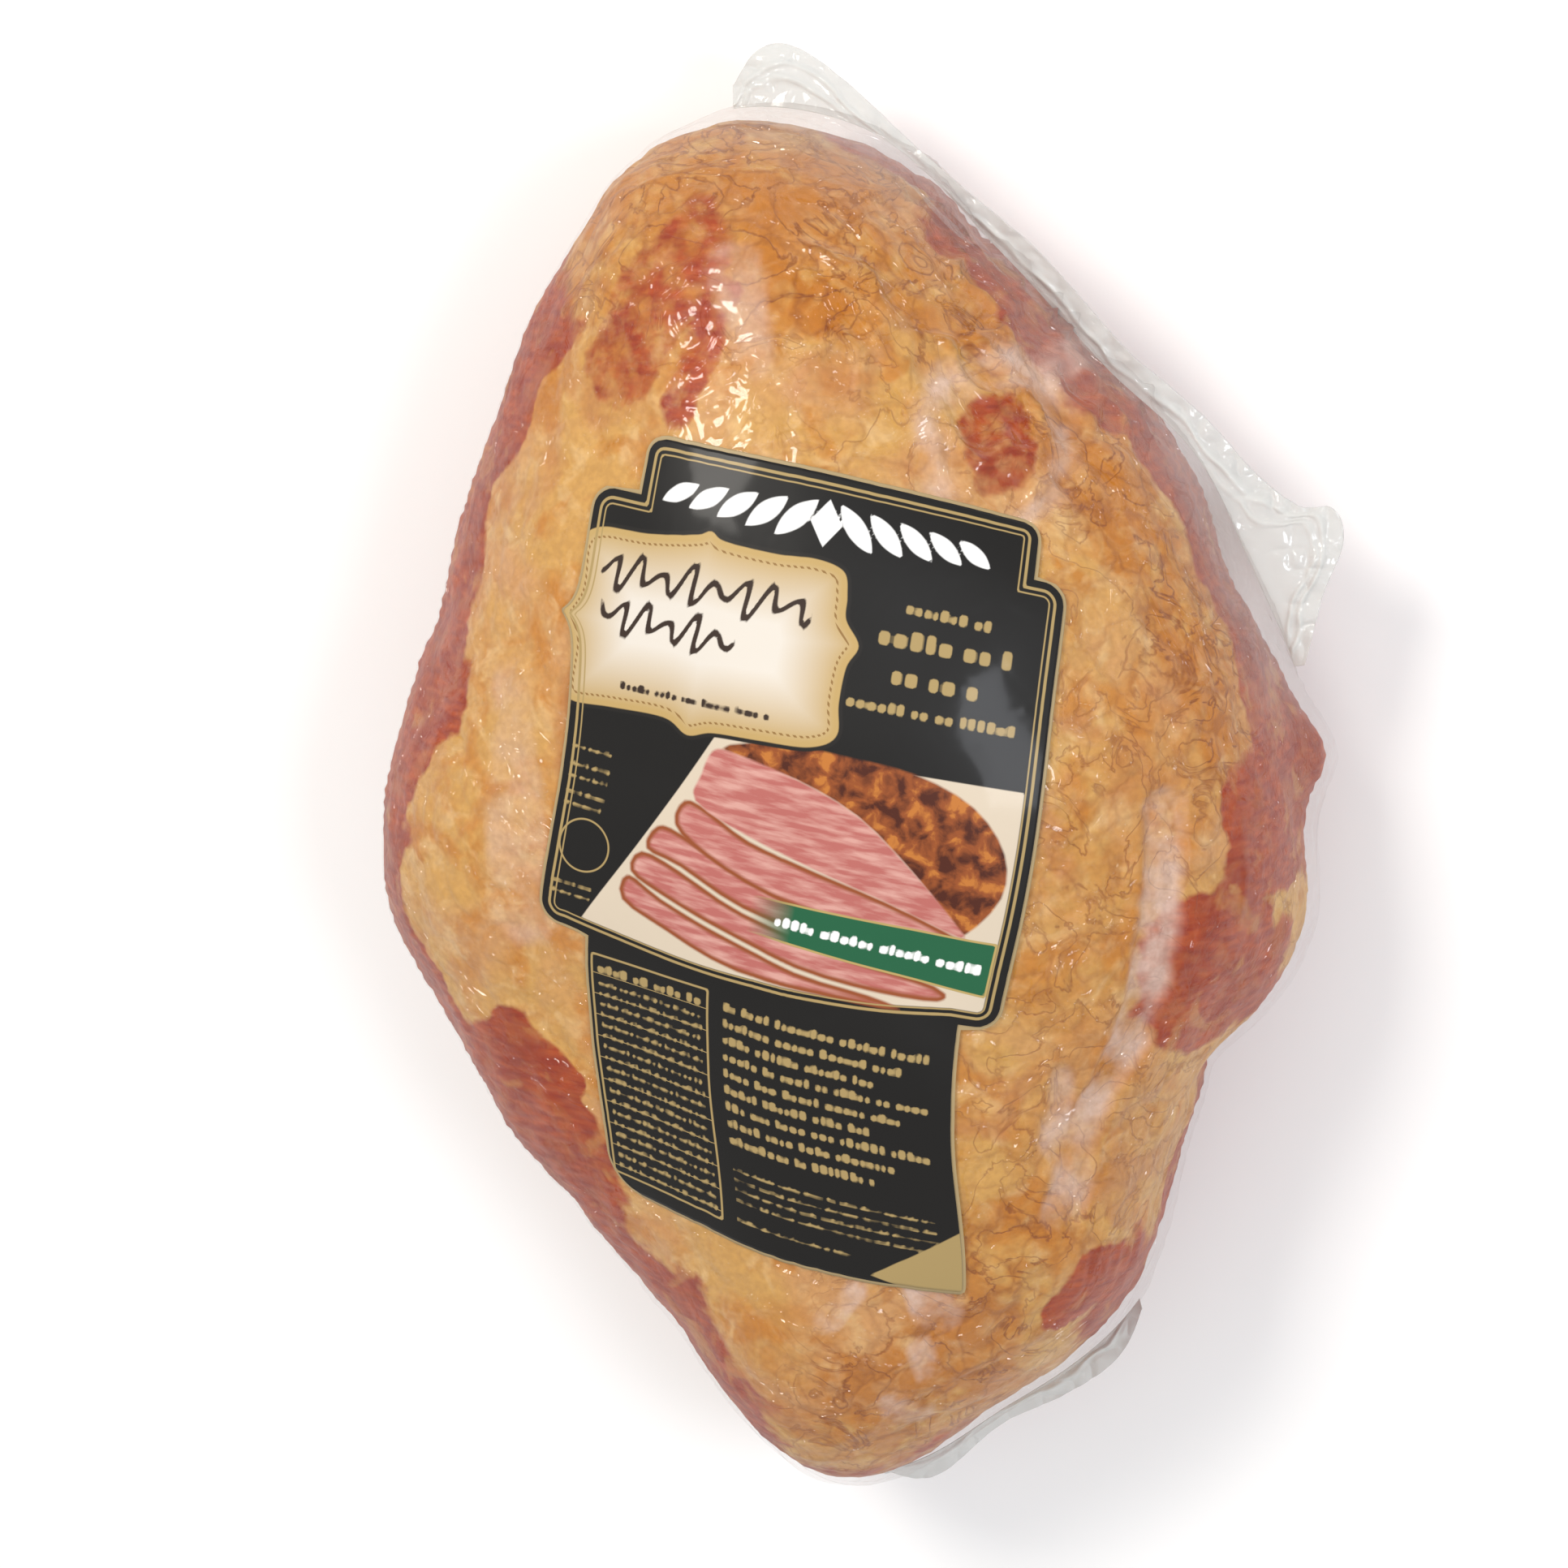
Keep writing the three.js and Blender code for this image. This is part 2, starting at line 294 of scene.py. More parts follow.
def tent(angle, latitude):
    """How far the film stands off the meat: the TENT value at the rim, falling with the
    power TENT_FALL of the latitude left, to nothing at TENT_SPREAD degrees."""
    near = np.clip(1 - np.abs(latitude) / math.radians(TENT_SPREAD), 0, 1)
    return np.maximum(around(TENT, angle), 0) * near ** TENT_FALL


whole_turn = np.radians(np.arange(360))
plan = around(OUTLINE, whole_turn)[:, None] * np.stack(
    [np.cos(whole_turn), np.sin(whole_turn)], axis=-1)
SCALE = (HAM_WIDTH / np.ptp(plan[:, 0]), HAM_LENGTH / np.ptp(plan[:, 1]))
print("outline scale", np.round(SCALE, 4))

# %% [markdown]
# ## A grid over the ham
#
# The fine surface is one grid: columns round the turn, rows from base to crown, closer
# together on top, where the eye is. The same grid carries the meat and the film, so the
# film can never dip into the meat: it is the meat's surface moved out along its normal.

# %% Grid
COLUMNS = 420
BASE_ROWS, TOP_ROWS = 52, 146
ROWS_MEET = -8
NORMAL_STEP = 0.004


def ham_grid():
    """Angles and latitudes of every grid point, rows from the base to the crown."""
    base = np.linspace(-90, ROWS_MEET, BASE_ROWS + 1)[1:]
    top = np.linspace(ROWS_MEET, 90, TOP_ROWS + 2)[1:-1]
    latitude = np.radians(np.concatenate([base, top]))
    angle = np.arange(COLUMNS) * 2 * np.pi / COLUMNS
    return np.broadcast_arrays(angle[None, :], latitude[:, None])


ANGLE, LATITUDE = ham_grid()
# The frame's origin lies under the middle of the whole object's box.
SHIFT = np.array([-0.146, 1.724, 0.0])


def turn_of(angle):
    """Heading in degrees, from -90 at the small end round to 270."""
    return (np.degrees(angle) + 90) % 360 - 90


def placed(angle, latitude):
    """The smooth form in the frame: scaled to the measured length and width, and moved."""
    return form(angle, latitude, SCALE) + SHIFT


def outward(angle, latitude):
    """Surface direction: cross product of the steps east and north, made unit length."""
    east = placed(angle + NORMAL_STEP, latitude) - placed(angle - NORMAL_STEP, latitude)
    north = placed(angle, latitude + NORMAL_STEP) - placed(angle, latitude - NORMAL_STEP)
    normal = np.cross(east, north)
    return normal / np.maximum(np.linalg.norm(normal, axis=-1, keepdims=True), 1e-9)


HAM = placed(ANGLE, LATITUDE)
OUT = outward(ANGLE, LATITUDE)
print("grid", HAM.shape, "shift", np.round(SHIFT, 2))

# %% [markdown]
# ## The label's place
#
# The label is paper, so it bends but hardly stretches. It is drawn flat first, with u
# across and v up, in mm. A point of the flat label goes to the ham by its heading from
# the crown and by its distance over the film, which keeps the paper's length. The meat's
# relief has to be calm under the label, so the label's outline is needed before the meat.

# %% Label outline and place
LABEL_TURN = math.radians(-10.1)
LABEL_MIDDLE = (0.6, -8.5)
LABEL_SLANT = -0.066
# Blocks of the die-cut outline: u from, u to, v from, v to, corner radius.
HEAD = (-43.5, 46.0, 50.0, 92.0, 4.0)
PLATE = (-55.5, 53.5, -23.0, 79.0, 5.0)
PANEL_LEFT = (-43.0, 20.0, -90.0, 0.0, 9.0)
PANEL_RIGHT = (-10.0, 45.0, -90.0, 0.0, 0.6)
# The plate's left edge has a pointed bracket, and its foot bows downwards in the middle.
BRACKET_V, BRACKET_REACH, BRACKET_SPREAD = 49.5, 4.5, 3.2
PLATE_BOW, BOW_MIDDLE, BOW_HALF = 3.5, -3, 46
# How calm the meat's relief is under the label, and over how many mm it comes back.
CALMED, CALM_EDGE = 0.12, (-1, 7)


def block_distance(u, v, block):
    """Signed distance to a rounded rectangle, negative inside."""
    u0, u1, v0, v1, r = block
    du = np.abs(u - (u0 + u1) / 2) - (u1 - u0) / 2 + r
    dv = np.abs(v - (v0 + v1) / 2) - (v1 - v0) / 2 + r
    outside = np.hypot(np.maximum(du, 0), np.maximum(dv, 0))
    return outside + np.minimum(np.maximum(du, dv), 0) - r


def plate_distance(u, v):
    """Signed distance to the head and plate together. The bracket pulls u towards the
    middle by an exponential peak, and the bow lifts v by a parabola across the foot."""
    point = BRACKET_REACH * np.exp(-np.abs(v - BRACKET_V) / BRACKET_SPREAD)
    nudged = np.where(u < 0, u + point, u)
    across = np.clip(1 - ((u - BOW_MIDDLE) / BOW_HALF) ** 2, 0, 1)
    bow = PLATE_BOW * across * rise(-v, 0, 15)
    return np.minimum(block_distance(u, v, HEAD), block_distance(nudged, v + bow, PLATE))


def label_distance(u, v):
    """Signed distance to the whole label: the nearest of its blocks."""
    panel = np.minimum(block_distance(u, v, PANEL_LEFT), block_distance(u, v, PANEL_RIGHT))
    return np.minimum(plate_distance(u, v), panel)


def calm_near(distance):
    """How much of the relief is left: CALMED well inside the label, all of it outside."""
    return CALMED + (1 - CALMED) * rise(distance, *CALM_EDGE)


def lean_of(v):
    """Sideways lean of the label's long axis, as it was stuck on a little curved: a slant,
    a bell-shaped bend to the left below the middle, and a step back at the foot."""
    return LABEL_SLANT * v - 4.0 * np.exp(-((v + 30) / 32) ** 2) + 3.5 * rise(-v, 50, 92)


def flat_to_turn(u, v):
    """Flat label point to its heading on the ham and its distance from the crown: u and v
    are turned by LABEL_TURN and moved to LABEL_MIDDLE, then read as polar coordinates."""
    leaning = u + lean_of(v)
    x = leaning * math.cos(LABEL_TURN) - v * math.sin(LABEL_TURN) + LABEL_MIDDLE[0]
    y = leaning * math.sin(LABEL_TURN) + v * math.cos(LABEL_TURN) + LABEL_MIDDLE[1]
    return np.arctan2(y / SCALE[1], x / SCALE[0]), np.hypot(x, y)


def turn_to_flat(angle, distance):
    """The way back: heading and distance from the crown to a flat label point."""
    heading = np.arctan2(np.sin(angle) * SCALE[1], np.cos(angle) * SCALE[0])
    x = distance * np.cos(heading) - LABEL_MIDDLE[0]
    y = distance * np.sin(heading) - LABEL_MIDDLE[1]
    leaning = x * math.cos(LABEL_TURN) + y * math.sin(LABEL_TURN)
    v = -x * math.sin(LABEL_TURN) + y * math.cos(LABEL_TURN)
    return leaning - lean_of(v), v


# %% Walking over the ham
LADDER = np.radians(np.linspace(90, -30, 361))
SPOKES = np.radians(np.arange(0, 361, 3))


def walked():
    """Distance over the ham from the crown, down every spoke, at every rung."""
    points = placed(*np.broadcast_arrays(SPOKES[None, :], LADDER[:, None]))
    steps = np.linalg.norm(np.diff(points, axis=0), axis=-1)
    return np.concatenate([np.zeros((1, len(SPOKES))), np.cumsum(steps, axis=0)])


WALKED = walked()


def between_spokes(angle):
    """The column of walked distances at any heading, between two spokes."""
    at = (angle % (2 * np.pi)) / (SPOKES[1] - SPOKES[0])
    first = np.clip(np.floor(at).astype(int), 0, len(SPOKES) - 2)
    share = at - first
    return WALKED[:, first] * (1 - share) + WALKED[:, first + 1] * share


def latitude_at(angle, distance):
    """The latitude reached after `distance` mm from the crown, between two rungs."""
    column = between_spokes(angle)
    rung = np.clip((column < distance).sum(axis=0), 1, len(LADDER) - 1)
    before = np.take_along_axis(column, (rung - 1)[None], axis=0)[0]
    after = np.take_along_axis(column, rung[None], axis=0)[0]
    share = (distance - before) / (after - before)
    return LADDER[rung - 1] + share * (LADDER[rung] - LADDER[rung - 1])


def distance_at(angle, latitude):
    """Distance from the crown of any point of the top."""
    column = between_spokes(angle)
    at = np.clip((LADDER[0] - latitude) / (LADDER[0] - LADDER[1]), 0, len(LADDER) - 1.001)
    rung = np.floor(at).astype(int)
    before = np.take_along_axis(column, rung[None], axis=0)[0]
    after = np.take_along_axis(column, (rung + 1)[None], axis=0)[0]
    return before + (at - rung) * (after - before)


flat_angle, flat_far = flat_to_turn(np.array([0.0, 40.0]), np.array([0.0, -80.0]))
print("label's middle and foot sit at latitude",
      np.round(np.degrees(latitude_at(flat_angle, flat_far)), 1))

# %% [markdown]
# ## Relief of the meat
#
# The lump swells and dips over a few centimetres. The fat cap breaks into lobes with fine
# creases between them. Lean meat, where it shows through, is drawn into fibres. The seam
# between two muscles leaves a groove. Each is a height in mm along the surface normal, and
# a mask says where it holds, so that the colours can later use the same places.

# %% Places of lean, smoke stain and pale seams
# Capsules on the plan in mm: start, end, half width, strength.
LEAN_SPOTS = [((-24, 134), (-43, 106), 9, 0.55), ((-18, 121), (-26, 98), 4.5, 0.6),
              ((41, 93), (43, 86), 6.8, 0.62), ((92, -24), (90, -38), 14.5, 1.0),
              ((103, 10), (105, -6), 9.5, 1.0), ((-73, -53), (-54, -80), 8, 0.9),
              ((-66, -53), (-56, -61), 4.5, 0.8), ((66, -102), (59, -112), 6, 0.85)]
STAIN_SPOTS = [((-38, 140), (24, 132), 19, 0.8), ((-5, 125), (8, 117), 7, 1.0),
               ((35, 120), (60, 91), 9, 0.9), ((60, 91), (88, 44), 8, 0.9),
               ((88, 44), (97, 12), 6, 0.9), ((74, 14), (64, -62), 17, 0.42),
               ((38, -119), (20, -142), 17, 0.85), ((50, -92), (38, -104), 14, 0.75),
               ((-50, 136), (-72, 98), 8, 0.7), ((-10, -125), (10, -150), 14, 0.45)]
PALE_SEAMS = [((82, 11), (82, -15), 4.2, 0.75), ((82, -15), (75, -44), 4.4, 0.8),
              ((75, -44), (66, -60), 4.2, 0.8), ((66, -60), (60, -84), 4.0, 0.6),
              ((60, -51), (59, -67), 3.5, 0.7), ((28, -120), (28, -126), 3.0, 0.8),
              ((29, -103), (31, -108), 5.0, 0.9), ((14, -104), (8, -112), 3.2, 0.7),
              ((20, -136), (26, -140), 3.0, 0.7), ((-16, 128), (-10, 108), 5.0, 0.4),
              ((-66, 30), (-64, -20), 7.0, 0.35), ((30, 103), (52, 104), 4.0, 0.5)]

# A wrinkled pale ring round the small oval of lean: start, end, half width.
PALE_RING = ((40, 94), (43, 84), 12.0)
RING_STRENGTH, RING_BREADTH = 0.8, 0.22
# Lean flanks: headings from and to, how soft, the latitude it reaches, how far that edge
# wanders, how soft it is, strength.
FLANKS = [(118, 226, 6, 33.5, 8, 3, 1.0), (-10, 92, 5, 4, 3, 3, 1.0),
          (6, 82, 9, 15, 4, 2.5, 1.0), (-54, -33, 4, 8, 5, 3, 1.0),
          (-67, -52, 4, 23, 6, 4, 1.0), (210, 244, 4, 44, 5, 4, 1.0),
          (242, 270, 5, 35, 7, 5, 0.85), (262, 284, 5, 22, 8, 6, 0.6)]

print(len(LEAN_SPOTS), "spots of lean,", len(STAIN_SPOTS), "of stain,", len(PALE_SEAMS),
      "pale seams")


# %% Masks
def spots(x, y, places, wobble):
    """The strongest of several soft-edged capsules."""
    return np.max([strength * (1 - rise(capsule(x, y, start, end, width) + wobble, 0.7, 1.25))
                   for start, end, width, strength in places], axis=0)


def arc(turn, start, end, soft):
    """1 for headings from start to end, falling to 0 over `soft` either side, by the
    smooth step of how far the heading is past the arc's half width."""
    off = np.abs((turn - (start + end) / 2 + 180) % 360 - 180) - (end - start) / 2
    return 1 - rise(off, -soft, soft)


def below(value, limit, soft):
    """1 under the limit, falling to 0 over `soft` either side of it."""
    return 1 - rise(value, limit - soft, limit + soft)


def masks(points, angle, latitude):
    """Where the surface is lean, smoke-stained or pale, each from 0 to 1. Two noises move
    the edges: a fine one frays the spots, and a broad one sways the flanks."""
    x, y = points[..., 0], points[..., 1]
    height = np.degrees(latitude)
    wobble = 0.30 * rough_noise(points, 14, 31)
    sway = rough_noise(points, 24, 41)
    turn = turn_of(angle) + 4 * sway
    lean = spots(x, y, LEAN_SPOTS, wobble)
    flanks = [strength * arc(turn, start, end, soft)
              * below(height, reach + wander * sway, soft_up)
              for start, end, soft, reach, wander, soft_up, strength in FLANKS]
    under = 0.9 * below(height, -12 + 10 * sway, 6) * rise(sway, -0.5, 0.3)
    lean = np.maximum(lean, np.max(flanks + [under], axis=0))
    stain = spots(x, y, STAIN_SPOTS, 1.6 * wobble)
    pale = spots(x, y, PALE_SEAMS, wobble)
    ring = capsule(x, y, *PALE_RING) + 0.5 * wobble
    pale = np.maximum(pale, RING_STRENGTH * np.exp(-((ring - 1) / RING_BREADTH) ** 2))
    return lean, stain * (1 - 0.6 * lean), pale


# %% Relief
# Swells: height and size in mm, seed. The rest are heights and sizes in mm.
SWELLS = [(1.5, 50, 1), (0.8, 24, 2)]
LOBE_SIZE, LOBE_WARP, LOBE_WARP_SIZE = 11, 2.5, 13
CREASE_DEPTH, CREASE_BREADTH = 0.55, 0.13
GRAIN_HEIGHT, GRAIN_SIZE = 0.45, 9
FIBRE_HEIGHT, FIBRE_PITCH = 0.22, 3.4
GROOVE_DEPTH, GROOVE_FROM = 2.6, (40, 70)
FOLD_HEIGHT, FOLD_SIZE, FOLD_SHARPNESS = 2.6, 9, 2.6
FOLD_AREA = ((18, 122), (52, 96), 24)
FILM_GAP, FILM_DIP = 0.32, 0.25


def relief(points, angle, latitude, calm):
    """Height of the meat and of the tight film over it, in mm along the normal. Creases
    are a bell of the gap between nearest and second nearest cell, folds are the ridges
    where a noise crosses nought, and fibres are a swaying sine. The film takes only
    FILM_DIP of each dip of the meat."""
    x, y = points[..., 0], points[..., 1]
    lean, stain, pale = masks(points, angle, latitude)
    broad = sum(height * noise(points, size, seed) for height, size, seed in SWELLS)
    warp = np.stack([noise(points, LOBE_WARP_SIZE, 51 + k) for k in range(3)], axis=-1)
    near, second = cells(points + LOBE_WARP * warp, LOBE_SIZE, 3)
    creases = np.exp(-((second - near) / CREASE_BREADTH) ** 2)
    folds = 1 - np.abs(noise(points * [1, 0.6, 1], FOLD_SIZE, 7)) * FOLD_SHARPNESS
    folded = 1 - rise(capsule(x, y, *FOLD_AREA), 0.6, 1.2)
    fibres = np.sin(2 * np.pi * (y + 2.5 * noise(points, 18, 61)) / FIBRE_PITCH)
    fine = (GRAIN_HEIGHT * rough_noise(points, GRAIN_SIZE, 71)
            - CREASE_DEPTH * creases * (1 - lean)
            + FOLD_HEIGHT * folded * np.maximum(folds, 0) ** 1.5
            + FIBRE_HEIGHT * lean * fibres
            - GROOVE_DEPTH * pale * rise(x, *GROOVE_FROM))
    grounded = rise(np.degrees(latitude), -60, -40)
    meat = grounded * (broad + calm * fine)
    bridged = np.maximum(fine, FILM_DIP * fine + 0.05)
    film = grounded * (broad + calm * bridged) + FILM_GAP
    return meat, film, lean, stain, pale


# %% Relief on the grid
FAR = distance_at(ANGLE.ravel(), LATITUDE.ravel()).reshape(ANGLE.shape)
FLAT_U, FLAT_V = turn_to_flat(ANGLE, FAR)
UNDER_LABEL = np.where(LATITUDE > 0, label_distance(FLAT_U, FLAT_V), 99.0)
MEAT, FILM, LEAN, STAIN, PALE = relief(HAM, ANGLE, LATITUDE, calm_near(UNDER_LABEL))
print("relief from", round(MEAT.min(), 2), "to", round(MEAT.max(), 2), "mm")

# %% [markdown]
# ## Meshes from grids
#
# Two shapes of mesh are needed. The meat and the film are closed balls of rows and
# columns, with one point at each pole. The seal flaps and the label plies are thin sheets:
# a grid on top, its twin below, and a wall round the rim, so that each is closed too.

# %% Mesh builders
def finish_mesh(name, points, faces, values, material):
    """Puts mm points into a smooth mesh object at the origin, with float attributes."""
    mesh = bpy.data.meshes.new(name)
    mesh.from_pydata((points * MM).tolist(), [], faces)
    mesh.shade_smooth()
    for label, array in values.items():
        if array.ndim == 2:
            layer = mesh.attributes.new(label, "FLOAT_VECTOR", "POINT")
            layer.data.foreach_set("vector", array.astype(np.float32).ravel())
        else:
            layer = mesh.attributes.new(label, "FLOAT", "POINT")
            layer.data.foreach_set("value", array.astype(np.float32))
    mesh.materials.append(material)
    mesh.validate()
    piece = bpy.data.objects.new(name, mesh)
    bpy.context.scene.collection.objects.link(piece)
    print(name, len(points), "points", len(faces), "faces")
    return piece


def quads(rows, columns, wrap):
    """Corner numbers of a grid's quads, counter-clockwise for east then north."""
    i = np.arange(rows - 1)[:, None] * columns
    j = np.arange(columns if wrap else columns - 1)[None, :]
    k = (j + 1) % columns
    return np.stack([i + j, i + k, i + columns + k, i + columns + j], axis=-1).reshape(-1, 4)


def ball(name, grid, poles, values, material):
    """A closed surface: rows of a grid from the low pole to the high pole."""
    rows, columns = grid.shape[:2]
    points = np.vstack([grid.reshape(-1, 3), poles])
    low, high = rows * columns, rows * columns + 1
    j = np.arange(columns)
    k = (j + 1) % columns
    last = (rows - 1) * columns
    faces = (quads(rows, columns, True).tolist()
             + np.stack([np.full(columns, low), k, j], axis=-1).tolist()
             + np.stack([last + j, last + k, np.full(columns, high)], axis=-1).tolist())
    full = {label: np.concatenate([a.ravel(), [a[0].mean(), a[-1].mean()]])
            for label, a in values.items()}
    return finish_mesh(name, points, faces, full, material)


def sheet(name, top, bottom, values, material):
    """A thin closed sheet between two grids, its top facing out."""
    rows, columns = top.shape[:2]
    count = rows * columns
    upper = quads(rows, columns, False)
    index = np.arange(count).reshape(rows, columns)
    rim = np.concatenate([index[0, :-1], index[:-1, -1], index[-1, :0:-1], index[:0:-1, 0]])
    after = np.roll(rim, -1)
    walls = np.stack([rim, rim + count, after + count, after], axis=-1)
    faces = upper.tolist() + (upper[:, ::-1] + count).tolist() + walls.tolist()
    points = np.vstack([top.reshape(-1, 3), bottom.reshape(-1, 3)])
    full = {label: np.concatenate([a.reshape(count, -1)] * 2).squeeze()
            for label, a in values.items()}
    return finish_mesh(name, points, faces, full, material)


print("a closed band of 3 rows and 4 columns has", len(quads(3, 4, True)), "quads")

# %% [markdown]
# ## Smoked meat and fat
#
# The cap is back fat: tan, a little translucent, blotched yellow and pink, with fine brown
# veins where its lobes meet. Smoke darkens the high and thin places to orange-brown. The
# lean is cured red-brown, streaked along its fibres, and wet. Pale seams are connective
# tissue. The masks from the relief place all of these, and noise in the material breaks
# their edges at a scale the mesh can't carry. Wet meat has an IOR near that of water and
# protein, 1.40, and a half-rough skin, so its own shine is broad and the film's is sharp.

# %% Ham material
# Blotches: size in mm, detail, the noise level where one starts and where it is full,
# its strength, its colour.
FAT_BLOTCHES = [(34, 4, 0.42, 0.62, 0.8, "#c9935f"), (14, 5, 0.50, 0.64, 0.8, "#c07a26"),
                (7, 4, 0.53, 0.70, 0.6, "#dfb981"), (22, 4, 0.56, 0.66, 0.6, "#b5743f")]
LEAN_BLOTCHES = [(16, 3, 0.45, 0.70, 0.6, "#872c10"), (8, 3, 0.52, 0.70, 0.5, "#b36631"),
                 (12, 5, 0.57, 0.66, 0.55, "#c08544")]
# Sizes in mm of the noises that draw veins, smoke, lean and grain. A noise node counts
# waves to the metre, so its scale is 1000 over the size.
VEIN_REGION, VEIN_CURL, BORDER_WARP_SIZE = 38, 15, 11.11
PALE_PATCH, SMOKE_PATCH, LEAN_FRAY, GRAIN = 11, 9, 5, 1.613
# How far the lobes' borders are pushed about, in metres, and how wide veins and borders
# are, in levels of their noise.
BORDER_WARP, VEIN_WIDTH, BORDER_WIDTH = 0.013, 0.022, 0.09
# Lean fibres run across the ham: their size in mm along x, y and z.
FIBRE_SIZE = (8.333, 1.613, 5.0)


def blotched(node, place, base, table):
    """Lays blotches of noise over a colour, one row of the table after another."""
    for size, detail, starts, full, strength, colour in table:
        level = node("TexNoise", {"Vector": place, "Scale": 1000 / size, "Detail": detail,
                                  "Distortion": 0.6})
        share = node("MapRange", {0: level, 1: starts, 2: full, 4: strength})
        base = painted(node, base, [(share, colour)])
    return base


def vein_lines(node, place, veined):
    """Curly veins on the level lines of a noise, and the borders of the fat's lobes."""
    level = node("TexNoise", {"Vector": place, "Scale": 1000 / VEIN_CURL, "Detail": 5.0,
                              "Distortion": 1.2})
    off = node("Math", {0: level, 1: 0.5}, operation="SUBTRACT")
    off = node("Math", {0: off}, operation="ABSOLUTE")
    vein = node("MapRange", {0: off, 1: 0.0, 2: VEIN_WIDTH, 3: 0.8, 4: 0.0})
    push = node("TexNoise", {"Vector": place, "Scale": 1000 / BORDER_WARP_SIZE,
                             "Detail": 4.0}, 1)
    push = node("VectorMath", {0: push, 3: BORDER_WARP}, operation="SCALE")
    warped = node("VectorMath", {0: place, 1: push}, operation="ADD")
    edge = node("TexVoronoi", {"Vector": warped, "Scale": 1000 / LOBE_SIZE},
                feature="DISTANCE_TO_EDGE")
    border = node("MapRange", {0: edge, 1: 0.0, 2: BORDER_WIDTH, 3: 0.38, 4: 0.0})
    lines = node("Math", {0: vein, 1: border}, operation="MAXIMUM")
    region = node("TexNoise", {"Vector": place, "Scale": 1000 / VEIN_REGION,
                               "Detail": 2.0})
    region = node("Math", {0: region, 1: veined}, operation="ADD")
    share = node("MapRange", {0: region, 1: 0.70, 2: 1.25, 3: 0.08, 4: 1.0})
    return node("Math", {0: lines, 1: share}, operation="MULTIPLY")


def lean_colour(node, place):
    """Cured lean: a noise stretched into fibres, then blotches."""
    across = node("Mapping", {"Vector": place, "Scale": [1000 / size for size in FIBRE_SIZE]})
    fibre = node("TexNoise", {"Vector": across, "Scale": 1.0, "Detail": 3.0})
    fibre = node("MapRange", {0: fibre, 1: 0.35, 2: 0.68})
    lean = painted(node, linear("#902802"), [(fibre, "#b24c14")])
    return blotched(node, place, lean, LEAN_BLOTCHES)


def meat_material():
    """Fat, then smoke stain and crust, then lean, pale seams and fine specks over it."""
    material, node = new_material("smoked_pork_with_fat_cap")
    place = node("TexCoord", out="Object")
    lean_mask, stain_mask, pale_mask, veined = (
        node("Attribute", out="Fac", attribute_name=name)
        for name in ("lean", "stain", "pale", "veined"))
    lines = vein_lines(node, place, veined)
    patchy = node("TexNoise", {"Vector": place, "Scale": 1000 / PALE_PATCH,
                               "Detail": 4.0})
    patchy = node("MapRange", {0: patchy, 1: 0.30, 2: 0.62})
    smoky = node("TexNoise", {"Vector": place, "Scale": 1000 / SMOKE_PATCH, "Detail": 5.0,
                              "Distortion": 1.5})
    smoky = node("MapRange", {0: smoky, 1: 0.34, 2: 0.56, 3: 0.15})
    stain = node("Math", {0: stain_mask, 1: smoky}, operation="MULTIPLY")
    faint = node("Math", {0: lines, 1: 0.58}, operation="MULTIPLY")
    crust = node("Math", {0: lines, 1: stain}, operation="MULTIPLY")
    fat = blotched(node, place, linear("#cb9a52"), FAT_BLOTCHES)
    fat = painted(node, fat, [(faint, "#84441f"), (stain, "#b8701a"), (crust, "#6a2408")])
    lean = lean_colour(node, place)
    ragged = node("TexNoise", {"Vector": place, "Scale": 1000 / LEAN_FRAY, "Detail": 4.0})
    ragged = node("Math", {0: ragged, 1: 0.9, 2: -0.45}, operation="MULTIPLY_ADD")
    ragged = node("Math", {0: lean_mask, 1: ragged}, operation="ADD")
    lean_share = node("MapRange", {0: ragged, 1: 0.34, 2: 0.66})
    pale = node("Math", {0: pale_mask, 1: patchy}, operation="MULTIPLY")
    grain = node("TexNoise", {"Vector": place, "Scale": 1000 / GRAIN, "Detail": 2.0})
    specks = node("MapRange", {0: grain, 1: 0.35, 2: 0.65, 4: 0.16})
    colour = painted(node, fat, [(lean_share, lean), (pale, "#d9bdae"), (specks, "#6e3a1c")])
    height = node("Math", {0: lines, 1: -0.5, 2: specks}, operation="MULTIPLY_ADD")
    bump = node("Bump", {"Height": height, "Distance": 0.0006, "Strength": 0.5})
    surface = node("BsdfPrincipled", {
        "Base Color": colour, "Normal": bump, "Roughness": 0.42, "IOR": 1.40,
        "Specular IOR Level": 0.35})
    node("OutputMaterial", {"Surface": surface})
    return material


# %% The ham
def lifted(height, lowest):
    """The grid moved out along its normal and kept off the floor, and its two poles."""
    grid = HAM + OUT * height[..., None]
    grid[..., 2] = np.maximum(grid[..., 2], lowest)
    poles = placed(np.zeros(2), np.array([-np.pi / 2, np.pi / 2]))
    poles[:, 2] = lowest, poles[1, 2] + height[-1].mean()
    return grid, poles


# The left of the cap is smooth, the right and the broad end are veined.
VEINED = np.maximum(rise(HAM[..., 0] + 12 * noise(HAM, 30, 12), -35, 35),
                    rise(HAM[..., 1] + 8 * noise(HAM, 30, 13), 95, 125))
meat_grid, poles = lifted(MEAT, FLOOR_GAP)
ham = ball("ham_meat", meat_grid, poles,
           {"lean": LEAN, "stain": STAIN, "pale": PALE, "veined": VEINED}, meat_material())
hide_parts("ham")
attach(ham, "root")

